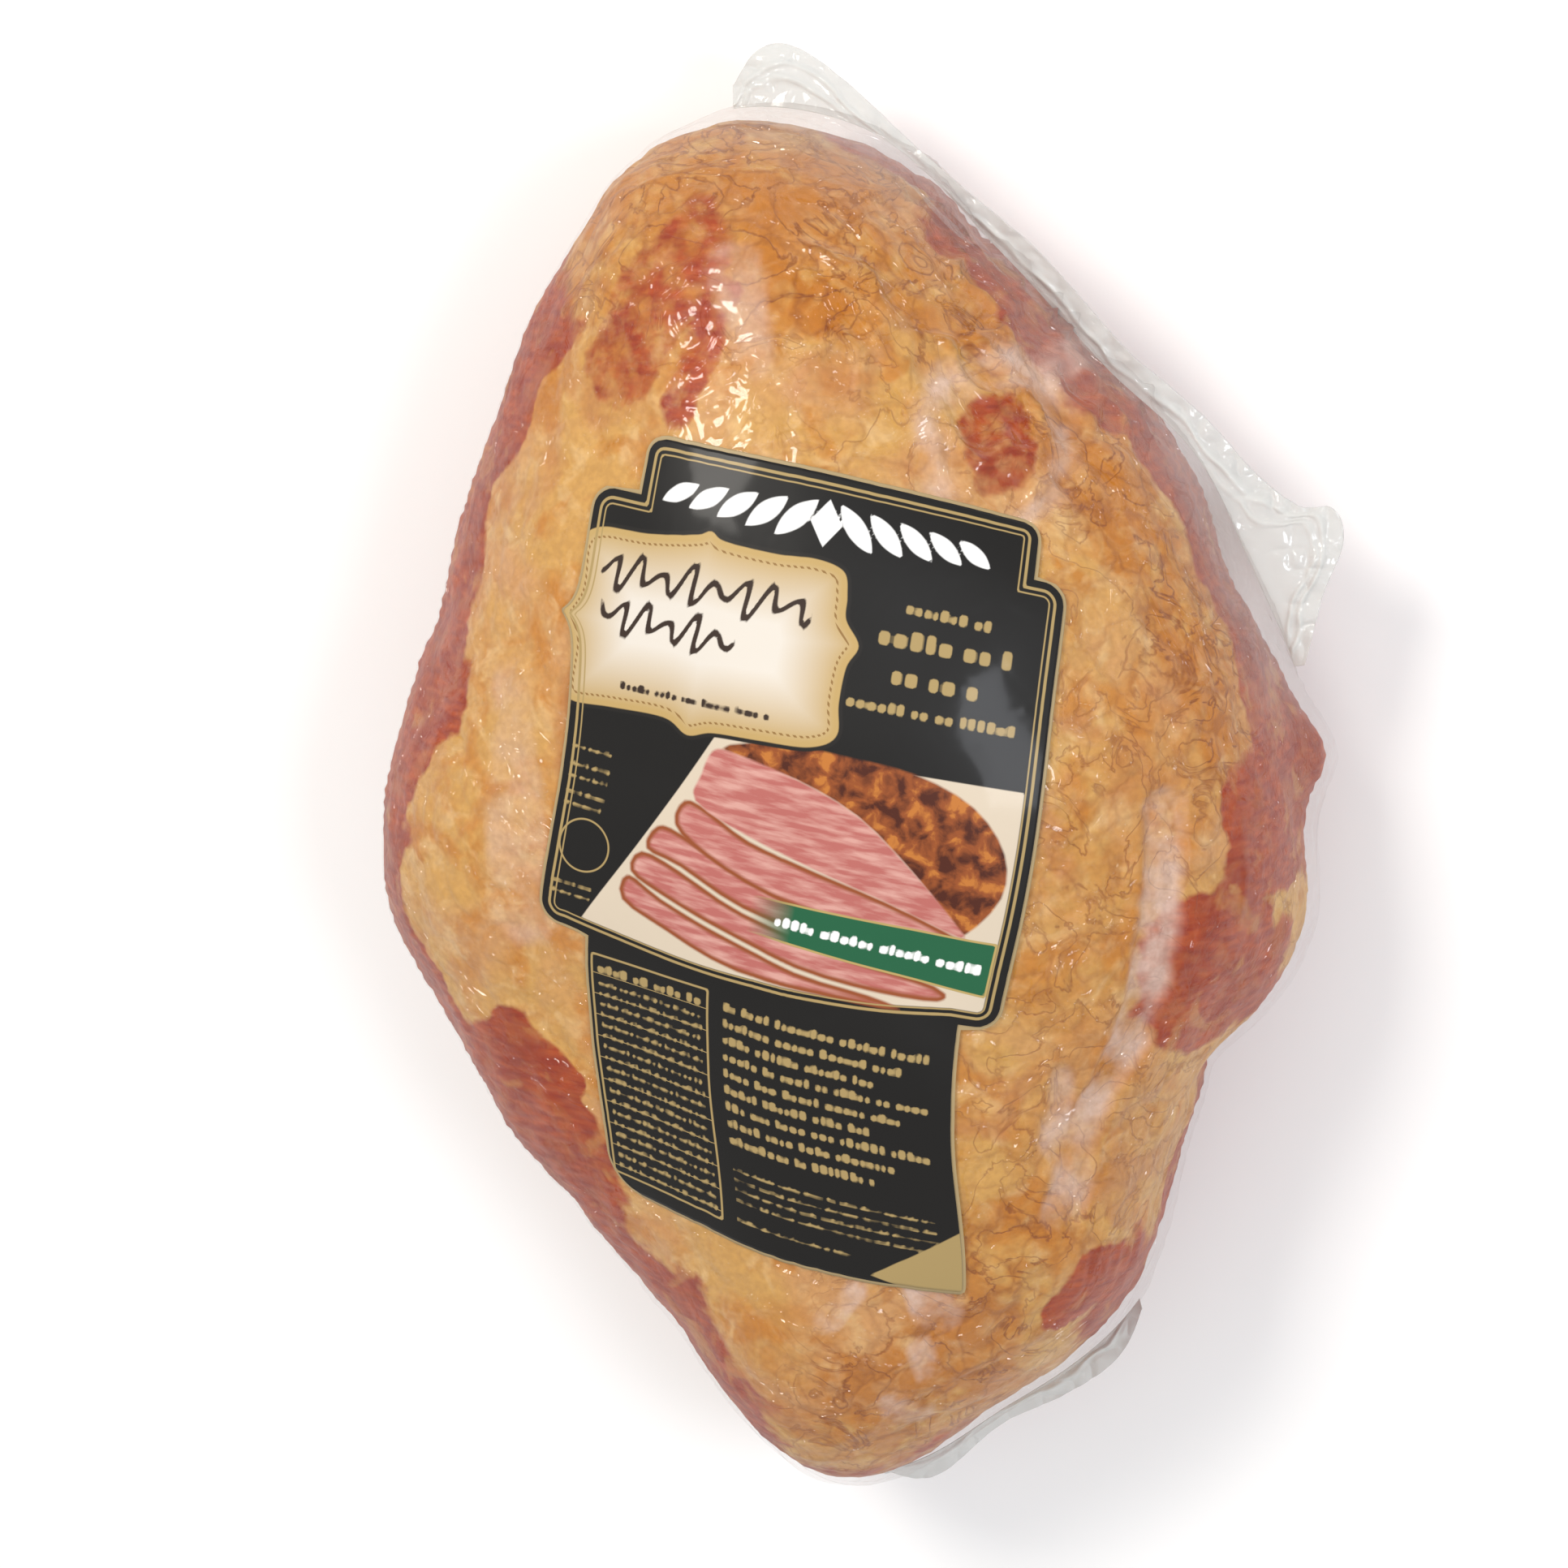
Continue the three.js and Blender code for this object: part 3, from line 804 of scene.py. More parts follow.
# %% [markdown]
# ## The shrink film
#
# The bag is clear shrink film, drawn tight by hot water. It follows the meat but bridges
# its creases, and along the rim it stands off like a tent. Such film is far thinner than
# anything it covers, so it needs no bending of light: most light goes straight through, and
# the rest is a sharp reflection that grows towards grazing angles, held back so that the
# rim doesn't turn into a mirror. Where the film stands off it also scatters a little white.
# Its long folds run along the rim and are worked into the mesh as ridges. Its fine ripples
# would need too many faces, so a bump carries them, drawn as coarse as they need to show.

# %% Film material
# Sizes in mm of the ripples and of the net of creases, how deep the bump makes them, and
# the plastic's mirror: IOR, roughness, share that counts and the most it may reach.
RIPPLE_SIZE, CREASE_SIZE, BUMP_DEPTH = 11.765, 20.83, 3.6
FILM_IOR, FILM_ROUGHNESS, MIRROR_SHARE, MIRROR_MOST = 1.5, 0.07, 0.85, 0.075


def film_material(name, haze_low, haze_high, scatter):
    """Clear film: see-through, with a sharp reflection and some pale scatter. The creases
    lie where a noise crosses its middle value."""
    material, node = new_material(name)
    place = node("TexCoord", out="Object")
    haze = node("Attribute", out="Fac", attribute_name="haze")
    haze = node("MapRange", {0: haze, 3: haze_low, 4: haze_high})
    ripple = node("TexNoise", {"Vector": place, "Scale": 1000 / RIPPLE_SIZE,
                               "Detail": 3.0, "Distortion": 0.8})
    crease = node("TexNoise", {"Vector": place, "Scale": 1000 / CREASE_SIZE,
                               "Detail": 3.0, "Distortion": 1.8})
    crease = node("Math", {0: crease, 1: 0.5}, operation="SUBTRACT")
    crease = node("Math", {0: crease}, operation="ABSOLUTE")
    crease = node("MapRange", {0: crease, 1: 0.0, 2: 0.06, 3: 0.30, 4: 0.0})
    ripple = node("Math", {0: ripple, 1: 0.4, 2: crease}, operation="MULTIPLY_ADD")
    bump = node("Bump", {"Height": ripple, "Distance": BUMP_DEPTH * MM, "Strength": 0.9})
    clear = node("BsdfTransparent")
    white = node("BsdfDiffuse", {"Color": linear(scatter)})
    shine = node("BsdfGlossy", {"Roughness": FILM_ROUGHNESS, "Normal": bump})
    body = node("MixShader", {0: haze, 1: clear, 2: white})
    mirror = node("Fresnel", {"IOR": FILM_IOR})
    mirror = node("Math", {0: mirror, 1: MIRROR_SHARE}, operation="MULTIPLY")
    mirror = node("Math", {0: mirror, 1: MIRROR_MOST}, operation="MINIMUM")
    film = node("MixShader", {0: mirror, 1: body, 2: shine})
    node("OutputMaterial", {"Surface": film})
    return material


# %% The bag
STAND_OFF = tent(ANGLE, LATITUDE)
RIM_FOLDS, FOLD_SPACING = 0.55, 6.5
FILM_FLOOR = 0.3


def rim_folds(angle, latitude):
    """Long ridges of loose film, running with the rim and breaking off here and there: the
    cube of a sine of the latitude, every FOLD_SPACING degrees, times a noise."""
    turns, height, none = np.degrees(angle), np.degrees(latitude), 0 * angle
    sway = noise(np.stack([turns, none, none], axis=-1), 9, 81)
    row = np.sin(2 * np.pi * (height + 5 * sway) / FOLD_SPACING)
    broken = rise(noise(np.stack([turns, height * 2, none], axis=-1), 11, 83), -0.2, 0.5)
    reach = below(height, 30, 16) * rise(height, -35, -10)
    loose = 0.2 + np.clip(np.maximum(around(TENT, angle), 0) / 5, 0, 1)
    return RIM_FOLDS * reach * loose * broken * np.maximum(row, 0) ** 3


def film_place(angle, latitude, height):
    """The film's points: the form, out by `height`, plus the tent pushed away sideways."""
    grid = placed(angle, latitude) + outward(angle, latitude) * height[..., None]
    off = tent(angle, latitude)
    grid[..., 0] += off * np.cos(angle)
    grid[..., 1] += off * np.sin(angle)
    return grid


film_height = FILM + rim_folds(ANGLE, LATITUDE)
film_grid = film_place(ANGLE, LATITUDE, film_height)
film_grid[..., 2] = np.maximum(film_grid[..., 2], FILM_FLOOR)
poles[0, 2] = FILM_FLOOR
poles[1, 2] += FILM_GAP
# The film is pale where it is loose: beside the long seal, and less beside the short one.
loose = np.clip(STAND_OFF / 5, 0, 1) * arc(turn_of(ANGLE), 14, 104, 8)
loose += 0.4 * np.clip(STAND_OFF / 4, 0, 1) * arc(turn_of(ANGLE), 262, 304, 8)
bag = ball("bag_film", film_grid, poles, {"haze": loose},
           film_material("shrink_film", 0.0, 0.24, "#dcdad6"))
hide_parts("shrink_bag")
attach(bag, "root")

# %% [markdown]
# ## The seal flaps
#
# Where the bag was closed, two films are fused into a flap that lies out past the rim. Each
# flap is a thin sheet between the rim and a free edge given by a few stations. Heat makes
# it ripple: a crimp line runs a little inside the edge, and fine puckers cross it.

# %% Seal flaps
# Stations: heading in degrees, reach in mm past the meat's rim.
LONG_SEAL = [(100, 8), (95.5, 19), (85, 9), (71.5, 11.5), (56, 10.5), (42, 13),
             (34, 21), (31.5, 29), (28, 28), (23.5, 18), (17, 8)]
SHORT_SEAL = [(300, 5), (296, 9), (290, 9), (283, 7.5), (277, 10.5), (273, 5)]
FLAP_ROOT, FLAP_WAVE, FLAP_THICKNESS = 1.0, 3.5, 0.5
CRIMP_INSET, CRIMP_GAP, CRIMP_WIDTH, CRIMP_HEIGHT = 4.5, 3, 0.9, 0.7
PUCKER_HEIGHT, PUCKER_SIZE = 1.1, 4.2
FLAP_ALONG, FLAP_ACROSS = 420, 44


def through(stations, count):
    """A smooth curve (Catmull-Rom) through stations, its two end stations doubled."""
    knots = np.array([stations[0]] + list(stations) + [stations[-1]], dtype=float)
    at = np.linspace(0, len(stations) - 1.0001, count)
    first = np.floor(at).astype(int)
    t = (at - first)[:, None]
    a, b, c, d = (knots[first + k] for k in range(4))
    return b + 0.5 * t * (c - a + t * (2 * a - 5 * b + 4 * c - d + t * (3 * (b - c) + d - a)))


def flap(name, stations, material):
    """A fused flap: across 0 at the rim to 1 at the free edge. Two crimp lines are bells of
    the distance from that edge, swayed by noise, and the puckers are a folded noise."""
    curve = through(stations, FLAP_ALONG)
    angle = np.radians(curve[:, 0])[:, None]
    across = np.linspace(0, 1, FLAP_ACROSS)[None, :]
    ridge = film_place(angle, angle * 0, angle * 0 + 0.7)
    meat = placed(angle, angle * 0)
    start = np.hypot(ridge[..., 0] - SHIFT[0], ridge[..., 1] - SHIFT[1]) - FLAP_ROOT
    end = np.hypot(meat[..., 0] - SHIFT[0], meat[..., 1] - SHIFT[1]) + curve[:, 1][:, None]
    end = np.maximum(end, start + 2 * FLAP_ROOT)
    heading = np.arctan2(ridge[..., 1] - SHIFT[1], ridge[..., 0] - SHIFT[0])
    radius = start + (end - start) * across
    x = SHIFT[0] + radius * np.cos(heading)
    y = SHIFT[1] + radius * np.sin(heading)
    inset = end - radius
    flat = np.stack([x, y, x * 0], axis=-1)
    crimp = np.exp(-((inset - CRIMP_INSET - 1.2 * noise(flat, 7, 91)) / CRIMP_WIDTH) ** 2)
    second = inset - CRIMP_INSET - CRIMP_GAP - noise(flat, 5, 92)
    crimp += 0.8 * np.exp(-(second / CRIMP_WIDTH) ** 2)
    pucker = np.abs(noise(flat, PUCKER_SIZE, 93)) * rise(across, 0.1, 0.5)
    z = ridge[..., 2] + FLAP_WAVE * across * np.sin(6 * angle + 0.8)
    z = z + PUCKER_HEIGHT * pucker + CRIMP_HEIGHT * crimp * rise(across, 0.0, 0.2)
    top = np.stack([x, y, z + FLAP_THICKNESS / 2], axis=-1)
    bottom = top - [0, 0, FLAP_THICKNESS]
    haze = 0.35 + 0.65 * np.clip(crimp, 0, 1)
    piece = sheet(name, top[:, ::-1], bottom[:, ::-1], {"haze": haze[:, ::-1]}, material)
    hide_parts("shrink_bag")
    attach(piece, "root")
    return piece


# Two films fused by heat are cloudier than one.
flap_look = film_material("fused_film", 0.42, 0.85, "#dadad7")
flap("long_seal_flap", LONG_SEAL, flap_look)
flap("short_seal_flap", SHORT_SEAL, flap_look)

# %% [markdown]
# ## The label's two plies
#
# The label is coated paper in two plies: a backing stuck to the film, which shows as a thin
# cream line, and a printed ply that peels off it. Each ply is a sheet whose rows run across
# the label, from its left edge to its right edge at that height. A flat sheet could be
# wrapped on with a modifier, but walking the paper's own length over the ham keeps it from
# stretching.

# %% Label sheets
LABEL_STEP, EDGE_BAND, ROW_STEP = 0.70, 0.5, 0.02
LABEL_FOOT, LABEL_TOP = PANEL_LEFT[2], HEAD[3]
SCAN = np.arange(-66, 62, 0.05)
PLY_THICKNESS, BASE_LIFT, PRINT_LIFT = 0.15, 0.45, 0.75


def label_flat(grow):
    """Flat u and v of a ply's points. Columns outside the outline are squeezed into a
    narrow band along the edge, so the columns inside stay straight. Each step of the
    outline gets a row just below it and one just above it."""
    foot, top = LABEL_FOOT - grow + ROW_STEP, LABEL_TOP + grow - ROW_STEP
    steps = [v + side for v in PLATE[2:4] for side in (-ROW_STEP, ROW_STEP)] + [top]
    rows = np.unique(np.concatenate([np.arange(foot, top, LABEL_STEP), steps]))
    inside = label_distance(SCAN[None, :], rows[:, None]) <= grow
    left = SCAN[inside.argmax(axis=1)][:, None]
    right = SCAN[len(SCAN) - 1 - inside[:, ::-1].argmax(axis=1)][:, None]
    u = np.arange(left.min(), right.max() + LABEL_STEP, LABEL_STEP)[None, :]
    inner_left, inner_right = left + EDGE_BAND, right - EDGE_BAND
    from_left = left + EDGE_BAND * (u - u.min()) / np.maximum(inner_left - u.min(), 1e-3)
    from_right = right - EDGE_BAND * (u.max() - u) / np.maximum(u.max() - inner_right, 1e-3)
    placed_u = np.where(u < inner_left, from_left, np.where(u > inner_right, from_right, u))
    return placed_u, rows[:, None] + 0 * placed_u


def label_sheet(name, u, v, lift, values, material):
    """A ply laid over the film, `lift` mm above it."""
    angle, far = flat_to_turn(u, v)
    latitude = latitude_at(angle.ravel(), far.ravel()).reshape(u.shape)
    points = placed(angle, latitude)
    height = relief(points, angle, latitude, calm_near(label_distance(u, v)))[1] + lift
    top = film_place(angle, latitude, height)
    bottom = film_place(angle, latitude, height - PLY_THICKNESS)
    piece = sheet(name, top, bottom, values, material)
    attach(piece, "root")
    return piece


def plain_material(name, colour, roughness):
    """One even colour with one even roughness."""
    material, node = new_material(name)
    surface = node("BsdfPrincipled", {"Base Color": linear(colour), "Roughness": roughness})
    node("OutputMaterial", {"Surface": surface})
    return material


# %% The backing ply
BACKING_MARGIN = 0.9
base_sheet = label_sheet("label_base_sheet", *label_flat(BACKING_MARGIN), BASE_LIFT, {},
                         plain_material("cream_backing_paper", "#a58f66", 0.5))
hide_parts("label_base_ply")

# %% [markdown]
# ## What is printed
#
# The picture on the label shows a carved ham on a board, drawn here as a few outlines. The
# lettering is replaced by plain ornament: leaves where a title would be, a flowing line for
# a script, and rows of small blocks for small print. None of it can be read. The print is
# drawn with signed distances: a number at every point that tells how far the nearest edge
# is. A line of the print is where that number passes some value, so it stays sharp between
# the mesh's points, and no picture has to be read from anywhere.

# %% Outlines of the print
# Each outline is a list of flat corners in mm, from the label's own middle.
PLAQUE = [(-57, 66), (-52.5, 70), (-40, 71), (-29, 73), (-25.5, 74.5), (-22, 73), (-10, 72.8),
          (-1.5, 73.5), (4.5, 72), (6, 67), (6.5, 62), (10, 57), (8, 52), (7.5, 44), (8, 37),
          (2.5, 33.5), (-9, 32.5), (-19.5, 31.5), (-25.5, 29.5), (-31.5, 32), (-45, 31),
          (-55.5, 30), (-57.5, 34), (-57, 43.5), (-60, 49.5), (-57, 56)]
BOARD = [(-18.5, 31.5), (48, 32), (60, 32), (60, -30), (-10, -34), (-52, -25), (-45, -20)]
CRUST = [(-17, 28.5), (-4.5, 33), (11.5, 33), (26, 32), (39.5, 27), (47.5, 18), (48.5, 8),
         (42.5, -1.5), (40, 0), (28.5, 10.5), (15, 20.5), (0.5, 26)]
FACE = [(-19, 27.5), (-14.5, 28.5), (0.5, 26), (15, 20.5), (28.5, 10.5), (40.5, 0),
        (41.5, -2.5), (24, 2.5), (5.5, 7), (-8, 10.5), (-21.5, 15.5), (-21, 21.5)]
SLICES = [
    [(-35, -6), (-26, -9.5), (-12, -13.5), (7.5, -18.5), (24.5, -20), (32, -22),
     (15.5, -22.5), (-5.5, -22), (-23.5, -17), (-35.5, -12.5)],
    [(-32.5, 0.5), (-22.5, -1.5), (-6.5, -7.5), (14.5, -11.5), (38.5, -15), (40, -18.5),
     (26.5, -19), (7.5, -17.5), (-12, -12.5), (-26, -8.5), (-34.5, -5)],
    [(-29.5, 7.5), (-23, 7), (-5.5, 1), (17.5, -5.5), (43, -6.5), (46.5, -13.5),
     (34.5, -12.5), (14.5, -10), (-6.5, -6.5), (-22.5, -0.5), (-31.5, 1.5)],
    [(-24, 15), (-18, 14), (-8, 9.5), (5.5, 6.5), (24, 2.5), (42, -3), (44, -5), (34, -6),
     (17.5, -4.5), (-1.5, -2), (-17, 3.5), (-25.5, 9)]]
RIBBON = [(-5, -2.5), (60, -2.5), (60, -16.5), (-5, -11.5)]
CORNER_FLAP = [(45.5, -74), (50, -95), (24, -88.5)]
FACTS = (-42.0, -12.0, -86.0, -28.5, 0.3)
FACTS_PITCH, RULE_SHARE = 5.6, 0.035
PRINT_CUT = 3.6
RING_CENTRE, RING_RADIUS = (-47.0, -2.5, 0.0), 6.3
print("outlines:", len(PLAQUE), "corners of the plaque,", len(CRUST), "of the crust")

# %% Rows, script and leaves
# Rows of blocks: u from, u to, v at the left, v at the right, block height, longest word.
GOLD_ROWS = (
    [(19, 38, 67.2, 66.5, 2.6, 9), (14, 42, 60.4, 60.0, 4.2, 6), (18, 37, 52.4, 52.0, 4.2, 4),
     (9, 46, 45.2, 44.8, 2.6, 7)]
    + [(-54, -44, v, v, 1.2, 6) for v in (20, 15.8, 13.0, 9.3, 6.6, -12.5, -15)]
    + [(-40.5, -15, -32, -32, 2.6, 9)] + [(-40.5, -13.5, v, v, 1.35, 8)
                                          for v in np.arange(-36, -84, -2.8)]
    + [(-8, 39 - 6 * (k % 3), -31.5 - 4.1 * k, -32.3 - 4.1 * k, 2.3, 8) for k in range(9)]
    + [(-8, 40, -71.5 - 2.5 * k, -72.5 - 2.5 * k, 1.0, 10) for k in range(4)]
    + [(-8, 20, -84, -84.5, 1.0, 8)])
WHITE_ROWS = [(1, 46, -7.3, -9.3, 2.6, 9)]
BROWN_ROWS = [(-43, -7, 36.6, 38.2, 1.9, 5)]
# Script lines: u from, u to, v at the left, v at the right, height, length of a wave.
PEN_HALF = 0.62
SCRIPT_LINES = [(-51, -1, 61.5, 62.5, 4.4, 6.2), (-50, -17, 52, 51.5, 4.2, 5.8)]
# Leaves of the title ornament: u, v, half length, half width, tilt in degrees.
DIAMOND, LEAF_PITCH = (-1, 81.5), 6.6
LEAVES = [(k * LEAF_PITCH - 1, 81.5 + 0.03 * k, 6.6 - 0.38 * abs(k), 2.3 - 0.10 * abs(k),
           (52 if k < 0 else -52) + 4 * k) for k in (-5, -4, -3, -2, -1, 1, 2, 3, 4, 5)]
print(len(GOLD_ROWS), "gold rows,", len(LEAVES), "leaves,", len(SLICES), "slices")


# %% Signed distances of the print
def smooth_loop(corners, count=6):
    """A closed outline through the corners, with `count` points from one to the next."""
    stations = np.array(corners, dtype=float)
    angle = np.arange(len(corners) * count) * 2 * np.pi / (len(corners) * count)
    return np.stack([around(stations[:, k], angle) for k in (0, 1)], axis=-1)


def outline_distance(u, v, corners):
    """Signed distance to a closed outline, negative inside, by its edges in turn."""
    inside = np.zeros(u.shape, dtype=bool)
    nearest = np.full(u.shape, 99.0)
    for (u0, v0), (u1, v1) in zip(corners, np.roll(corners, -1, axis=0)):
        nearest = np.minimum(nearest, capsule(u, v, (u0, v0), (u1, v1), 1.0))
        crosses = ((v0 > v) != (v1 > v)) & (
            u < (u1 - u0) * (v - v0) / (v1 - v0 if v1 != v0 else 1e-9) + u0)
        inside ^= crosses
    return np.where(inside, -nearest, nearest)


def rows_distance(u, v, rows, seed):
    """Signed distance to rows of small blocks, set out as words of uneven length."""
    random = np.random.default_rng(seed)
    nearest = np.full(u.shape, 9.0)
    for start, end, v_left, v_right, height, longest in rows:
        at, word = start, random.integers(2, longest + 1)
        near = np.abs(v - (v_left + v_right) / 2) < height + abs(v_right - v_left) + 1
        ru, rv, found = u[near], v[near], nearest[near]
        while at < end:
            width = height * random.uniform(0.42, 0.72)
            tall = height * random.choice([0.72, 1.0], p=[0.65, 0.35])
            base = v_left + (v_right - v_left) * (at - start) / (end - start) - height / 2
            block = (at, at + width, base, base + tall, 0.18 * height)
            found = np.minimum(found, block_distance(ru, rv, block))
            word -= 1
            at += width + height * (0.2 if word > 0 else 0.62)
            word = word if word > 0 else random.integers(2, longest + 1)
        nearest[near] = found
    return nearest


def script_distance(u, v):
    """Flowing lines: the distance to a slanted sine wave, measured up and down and divided
    by the wave's steepness, less half the pen's width."""
    nearest = np.full(u.shape, 9.0)
    for start, end, v_left, v_right, height, length in SCRIPT_LINES:
        middle = v_left + (v_right - v_left) * (u - start) / (end - start)
        phase = 2 * np.pi * (u - 0.35 * (v - middle)) / length
        size = height * (0.62 + 0.38 * np.sin(0.41 * phase + 1.0))
        slope = size * 2 * np.pi / length * np.cos(phase)
        wave = np.abs(v - middle - size * np.sin(phase)) / np.hypot(1, slope) - PEN_HALF
        ends = np.maximum(start - u, u - end)
        nearest = np.minimum(nearest, np.maximum(wave, ends))
    return nearest


def leaves_distance(u, v):
    """Pointed leaves, each between two parabolas, on either side of a diamond."""
    nearest = (np.abs(u - DIAMOND[0]) * 1.5 + np.abs(v - DIAMOND[1])) / 1.8 - 2.9
    for lu, lv, length, width, tilt in LEAVES:
        c, t = math.cos(math.radians(tilt)), math.sin(math.radians(tilt))
        along, aside = (u - lu) * c + (v - lv) * t, (v - lv) * c - (u - lu) * t
        leaf = np.abs(aside) - width * (1 - (along / length) ** 2)
        nearest = np.minimum(nearest, leaf * 0.8)
    return nearest


def print_distances(u, v):
    """Every signed distance that the label's print is drawn with. The board and the ribbon
    are cut off at the plate's inner rule."""
    frame = plate_distance(u, v)
    board, ribbon = (np.maximum(outline_distance(u, v, np.array(corners)), frame + PRINT_CUT)
                     for corners in (BOARD, RIBBON))
    gold = np.minimum(rows_distance(u, v, GOLD_ROWS, 5),
                      outline_distance(u, v, np.array(CORNER_FLAP)))
    white = np.minimum(rows_distance(u, v, WHITE_ROWS, 6), leaves_distance(u, v))
    brown = np.minimum(rows_distance(u, v, BROWN_ROWS, 7), script_distance(u, v))
    made = {"frame": frame, "board": board, "ribbon": ribbon, "gold": gold, "white": white,
            "brown": brown, "facts": block_distance(u, v, FACTS),
            "plaque": outline_distance(u, v, smooth_loop(PLAQUE)),
            "crust": outline_distance(u, v, smooth_loop(CRUST, 3)),
            "face": outline_distance(u, v, smooth_loop(FACE, 3))}
    for k, corners in enumerate(SLICES):
        made[f"slice_{k}"] = outline_distance(u, v, smooth_loop(corners, 3))
    return made


# %% Printed areas and lines
# Printed areas: the outline they fill, how deep inside it they start, how soft the edge
# is. Printed lines: the outline they follow, how deep inside it, half their width. All mm.
INK_EDGE, LINE_EDGE = 0.14, 0.08
AREAS = {name: (name, 0.0, INK_EDGE)
         for name in ("board", "ribbon", "plaque", "facts", "gold", "white", "brown")}
AREAS |= {name: (name, 0.0, 0.3)
          for name in ("crust", "face", *(f"slice_{k}" for k in range(len(SLICES))))}
AREAS |= {f"cut_{k}": (f"slice_{k}", 1.1, 0.4) for k in range(len(SLICES))}
AREAS["plaque_shadow"] = ("plaque", -0.9, INK_EDGE)
LINES = {"outer_rule": ("frame", 2.0, 0.34), "inner_rule": ("frame", 3.3, 0.18),
         "facts_frame": ("facts", 0.0, 0.28), "ring": ("ring", 0.0, 0.22),
         "ribbon_rule": ("ribbon", 0.2, 0.25), "stitches": ("plaque", 2.2, 0.25)}
print(len(AREAS), "printed areas and", len(LINES), "printed lines")


def print_shares(node, field):
    """How much ink each area and each line has: 1 where its distance is low enough."""
    shares = {}
    for name, (outline, depth, soft) in AREAS.items():
        shares[name] = node("MapRange", {0: field[outline], 1: -depth - soft,
                                         2: -depth + soft, 3: 1.0, 4: 0.0})
    for name, (outline, depth, half) in LINES.items():
        off = node("Math", {0: field[outline], 1: depth}, operation="ADD")
        off = node("Math", {0: off}, operation="ABSOLUTE")
        shares[name] = node("MapRange", {0: off, 1: half - LINE_EDGE, 2: half + LINE_EDGE,
                                         3: 1.0, 4: 0.0})
    return shares


# %% Inks
def carved_ham(node, flat, shares, ink):
    """The label's picture: a board, slices of marbled pink, a crust burnt in blotches."""
    streak = node("Mapping", {"Vector": flat, "Scale": (0.10, 0.55, 1.0),
                              "Rotation": (0, 0, 0.35)})
    marbling = node("TexNoise", {"Vector": streak, "Scale": 1.0, "Detail": 4.0})
    marbling = node("MapRange", {0: marbling, 1: 0.42, 2: 0.66, 4: 0.75})
    pink = painted(node, linear("#b2665f"), [(marbling, "#d8a89c")])
    burnt = node("TexNoise", {"Vector": flat, "Scale": 0.24, "Detail": 6.0, "Distortion": 0.4})
    dark = node("MapRange", {0: burnt, 1: 0.46, 2: 0.62})
    light = node("MapRange", {0: burnt, 1: 0.44, 2: 0.36})
    crust = painted(node, linear("#8f4a20"), [(dark, "#4a1d0c"), (light, "#b9712f")])
    layers = [(shares["board"], "#cfc0ab")]
    for k in range(len(SLICES)):
        layers += [(shares[f"slice_{k}"], "#8f4a26"), (shares[f"cut_{k}"], pink)]
    return painted(node, ink, layers + [(shares["crust"], crust), (shares["face"], pink)])


def ribbon_layers(node, along, shares):
    """The green ribbon and its gold rule, both fading in from the left."""
    fade = node("MapRange", {0: along, 1: -5.0, 2: 5.0})
    return [(node("Math", {0: fade, 1: shares[name]}, operation="MULTIPLY"), colour)
            for name, colour in (("ribbon", "#1d5c3c"), ("ribbon_rule", "#b39a5f"))]


def plaque_layers(node, along, upward, plaque, shares):
    """The plaque: a dark shadow line, paper that browns towards its rim, a stitched line
    cut into dashes by the fraction of u + v, and the brown script."""
    aged = node("MapRange", {0: plaque, 1: -15.0, 2: -1.0})
    paper = painted(node, linear("#d9d1c6"), [(aged, "#b89a62")])
    dash = node("Math", {0: along, 1: upward}, operation="ADD")
    dash = node("Math", {0: dash, 1: 0.62}, operation="MULTIPLY")
    dash = node("Math", {0: dash}, operation="FRACT")
    dash = node("Math", {0: dash, 1: 0.5}, operation="LESS_THAN")
    stitch = node("Math", {0: dash, 1: shares["stitches"]}, operation="MULTIPLY")
    return [(shares["plaque_shadow"], "#1c1916"), (shares["plaque"], paper),
            (stitch, "#8d6b3c"), (shares["brown"], "#33241b")]


def facts_rules(node, upward, shares):
    """Evenly spaced rules inside the facts panel: thin slices of the fraction of v."""
    rule = node("Math", {0: upward, 1: 1 / FACTS_PITCH}, operation="MULTIPLY")
    rule = node("Math", {0: rule}, operation="FRACT")
    rule = node("Math", {0: rule, 1: RULE_SHARE}, operation="LESS_THAN")
    return node("Math", {0: rule, 1: shares["facts"]}, operation="MULTIPLY")


def print_material():
    """Inks laid one over another on black, under a thin gloss varnish."""
    material, node = new_material("label_inks_under_gloss")
    flat = node("Attribute", out="Vector", attribute_name="flat")
    along = node("SeparateXYZ", {0: flat}, "X")
    upward = node("SeparateXYZ", {0: flat}, "Y")
    field = {name: node("Attribute", out="Fac", attribute_name=name) for name in PRINT}
    ring = node("VectorMath", {0: flat, 1: RING_CENTRE}, "Value", operation="DISTANCE")
    field["ring"] = node("Math", {0: ring, 1: -RING_RADIUS}, operation="ADD")
    shares = print_shares(node, field)
    gold = [shares["outer_rule"], shares["inner_rule"], facts_rules(node, upward, shares),
            shares["facts_frame"], shares["ring"], shares["gold"]]
    ink = carved_ham(node, flat, shares, linear("#12100e"))
    ink = painted(node, ink, ribbon_layers(node, along, shares)
                  + plaque_layers(node, along, upward, field["plaque"], shares)
                  + [(line, "#a58d5c") for line in gold] + [(shares["white"], "#f1f0ee")])
    surface = node("BsdfPrincipled", {
        "Base Color": ink, "Roughness": 0.5, "Specular IOR Level": 0.25, "Coat Weight": 0.12,
        "Coat Roughness": 0.10})
    node("OutputMaterial", {"Surface": surface})
    return material


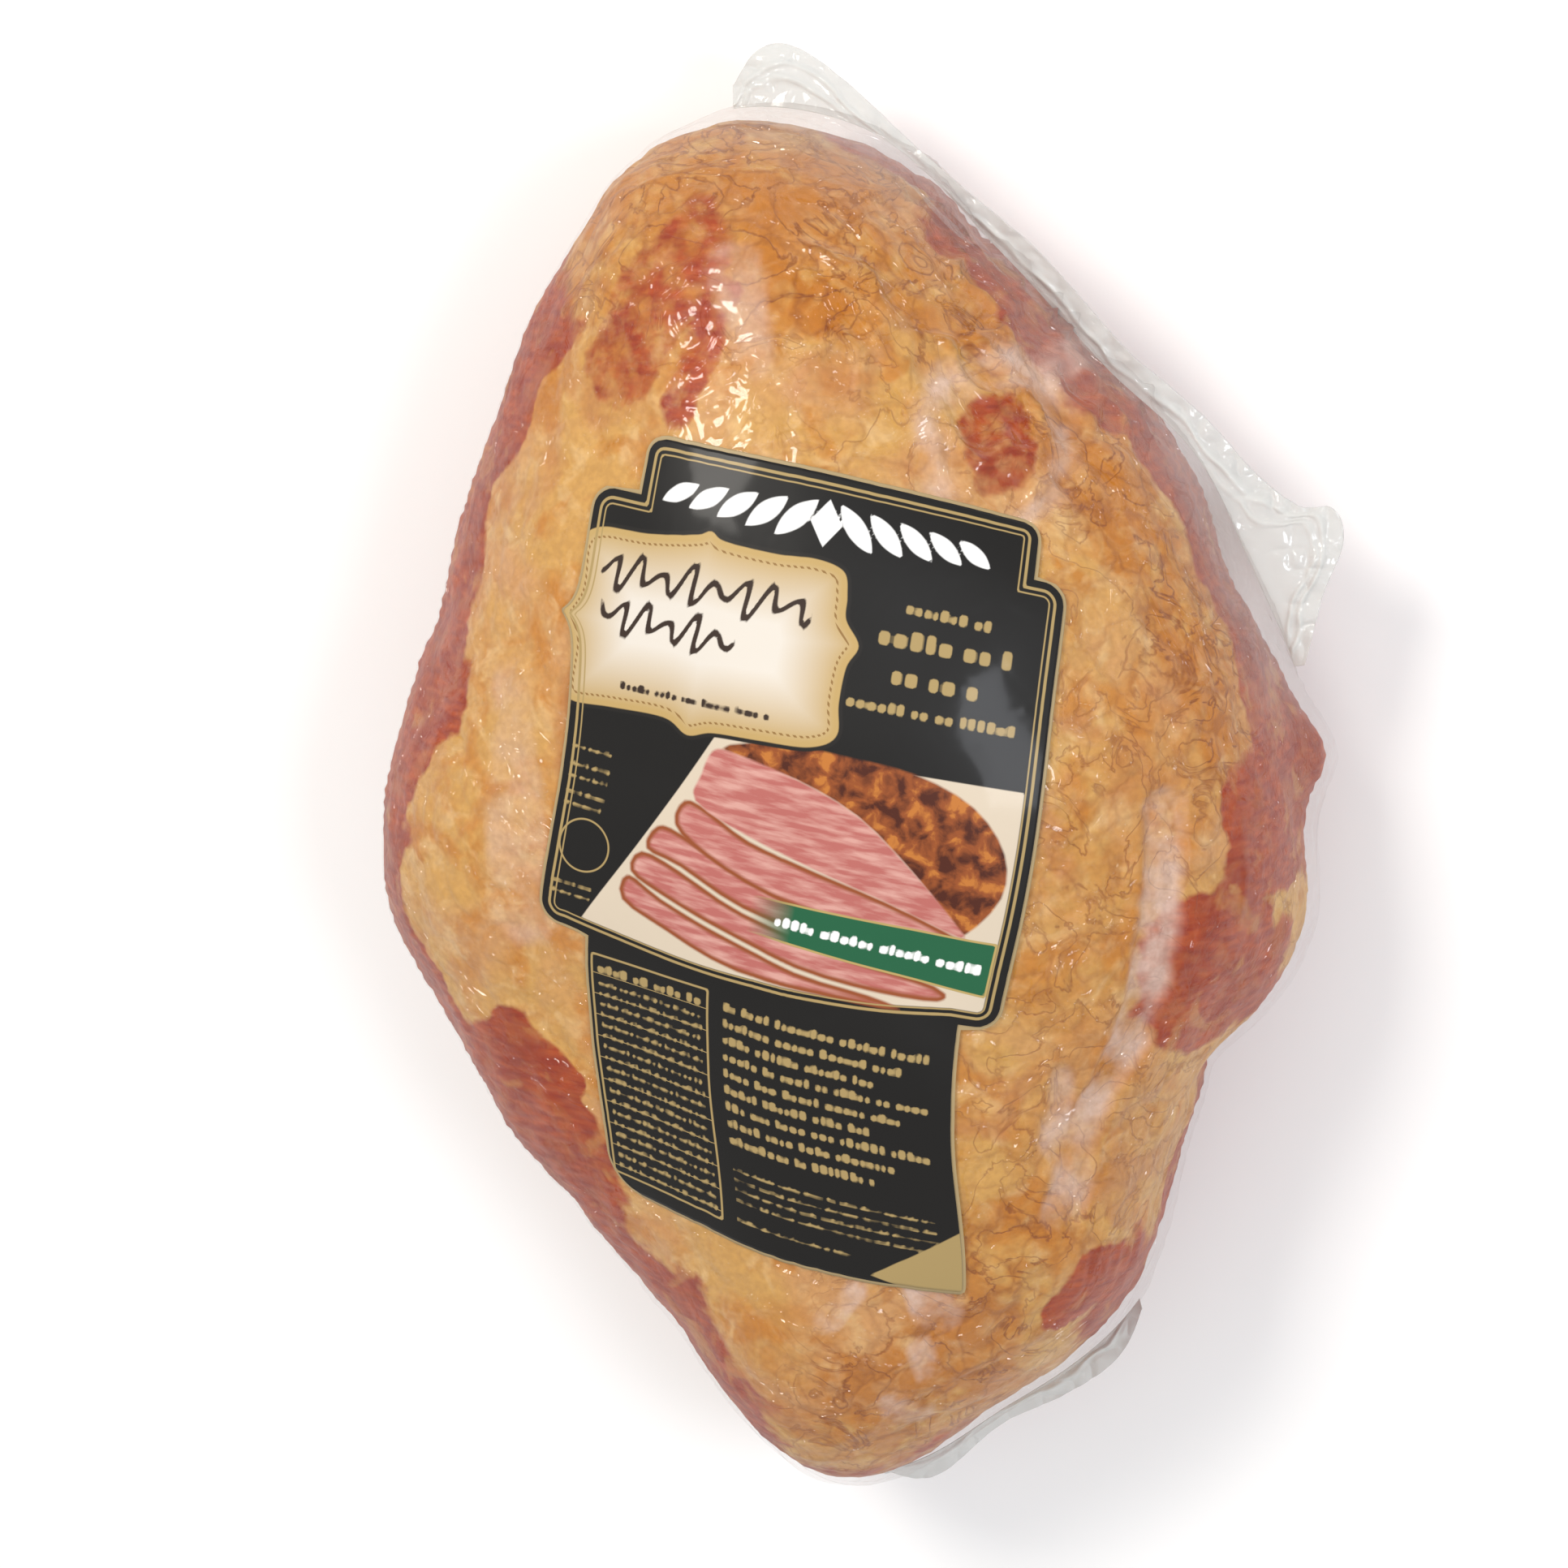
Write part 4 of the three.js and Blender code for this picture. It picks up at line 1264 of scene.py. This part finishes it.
# %% The printed ply
flat_u, flat_v = label_flat(0.0)
PRINT = print_distances(flat_u, flat_v)
flat_place = np.stack([flat_u, flat_v, 0 * flat_u], axis=-1)
print_sheet = label_sheet("label_print_sheet", flat_u, flat_v, PRINT_LIFT,
                          {"flat": flat_place, **PRINT}, print_material())
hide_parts("label_peel_ply")

# %% [markdown]
# ## Floor and light
#
# A pale floor, a soft overhead light from the upper left, a weaker one from the right and
# a near-white sky give the even light of a light tent, with a soft shadow to the right.

# %% Floor and light
FLOOR_SIZE = 6.0
SKY = 0.70
# Lamps: name, place in metres, size, power, colour.
LAMPS = [("key", (-0.40, 0.62, 1.1), 0.36, 8.0, "#fffaf2"),
         ("fill", (0.62, 0.12, 1.05), 0.30, 4.0, "#f4f8ff")]


def floor_mesh():
    """One flat square, big enough for its edge to stay out of sight."""
    half = FLOOR_SIZE / 2
    mesh = bpy.data.meshes.new("floor")
    corners = [(-half, -half, 0), (half, -half, 0), (half, half, 0), (-half, half, 0)]
    mesh.from_pydata(corners, [], [(0, 1, 2, 3)])
    mesh.materials.append(plain_material("pale_floor", "#fbfbfb", 0.7))
    made = bpy.data.objects.new("floor", mesh)
    bpy.context.scene.collection.objects.link(made)
    return made


floor_mesh()


def area_light(name, place, size, power, colour):
    """A soft square light at `place` in metres, facing the ham."""
    light = bpy.data.lights.new(name, "AREA")
    light.size, light.energy, light.color = size, power, linear(colour)[:3]
    lamp = bpy.data.objects.new(name, light)
    back = np.array(place) / np.linalg.norm(place)
    side = np.cross([0, 1, 0], back)
    side /= np.linalg.norm(side)
    turned = np.eye(4)
    turned[:3, 0], turned[:3, 1], turned[:3, 2] = side, np.cross(back, side), back
    turned[:3, 3] = place
    lamp.matrix_world = Matrix(turned.tolist())
    bpy.context.scene.collection.objects.link(lamp)


for lamp in LAMPS:
    area_light(*lamp)
sky = bpy.data.worlds.new("even_sky")
sky.use_nodes = True
sky.node_tree.nodes["Background"].inputs["Color"].default_value = linear("#ffffff")
sky.node_tree.nodes["Background"].inputs["Strength"].default_value = SKY
bpy.context.scene.world = sky
bpy.context.scene.view_settings.view_transform = "Standard"
print(len(LAMPS), "lamps and a sky of strength", SKY)
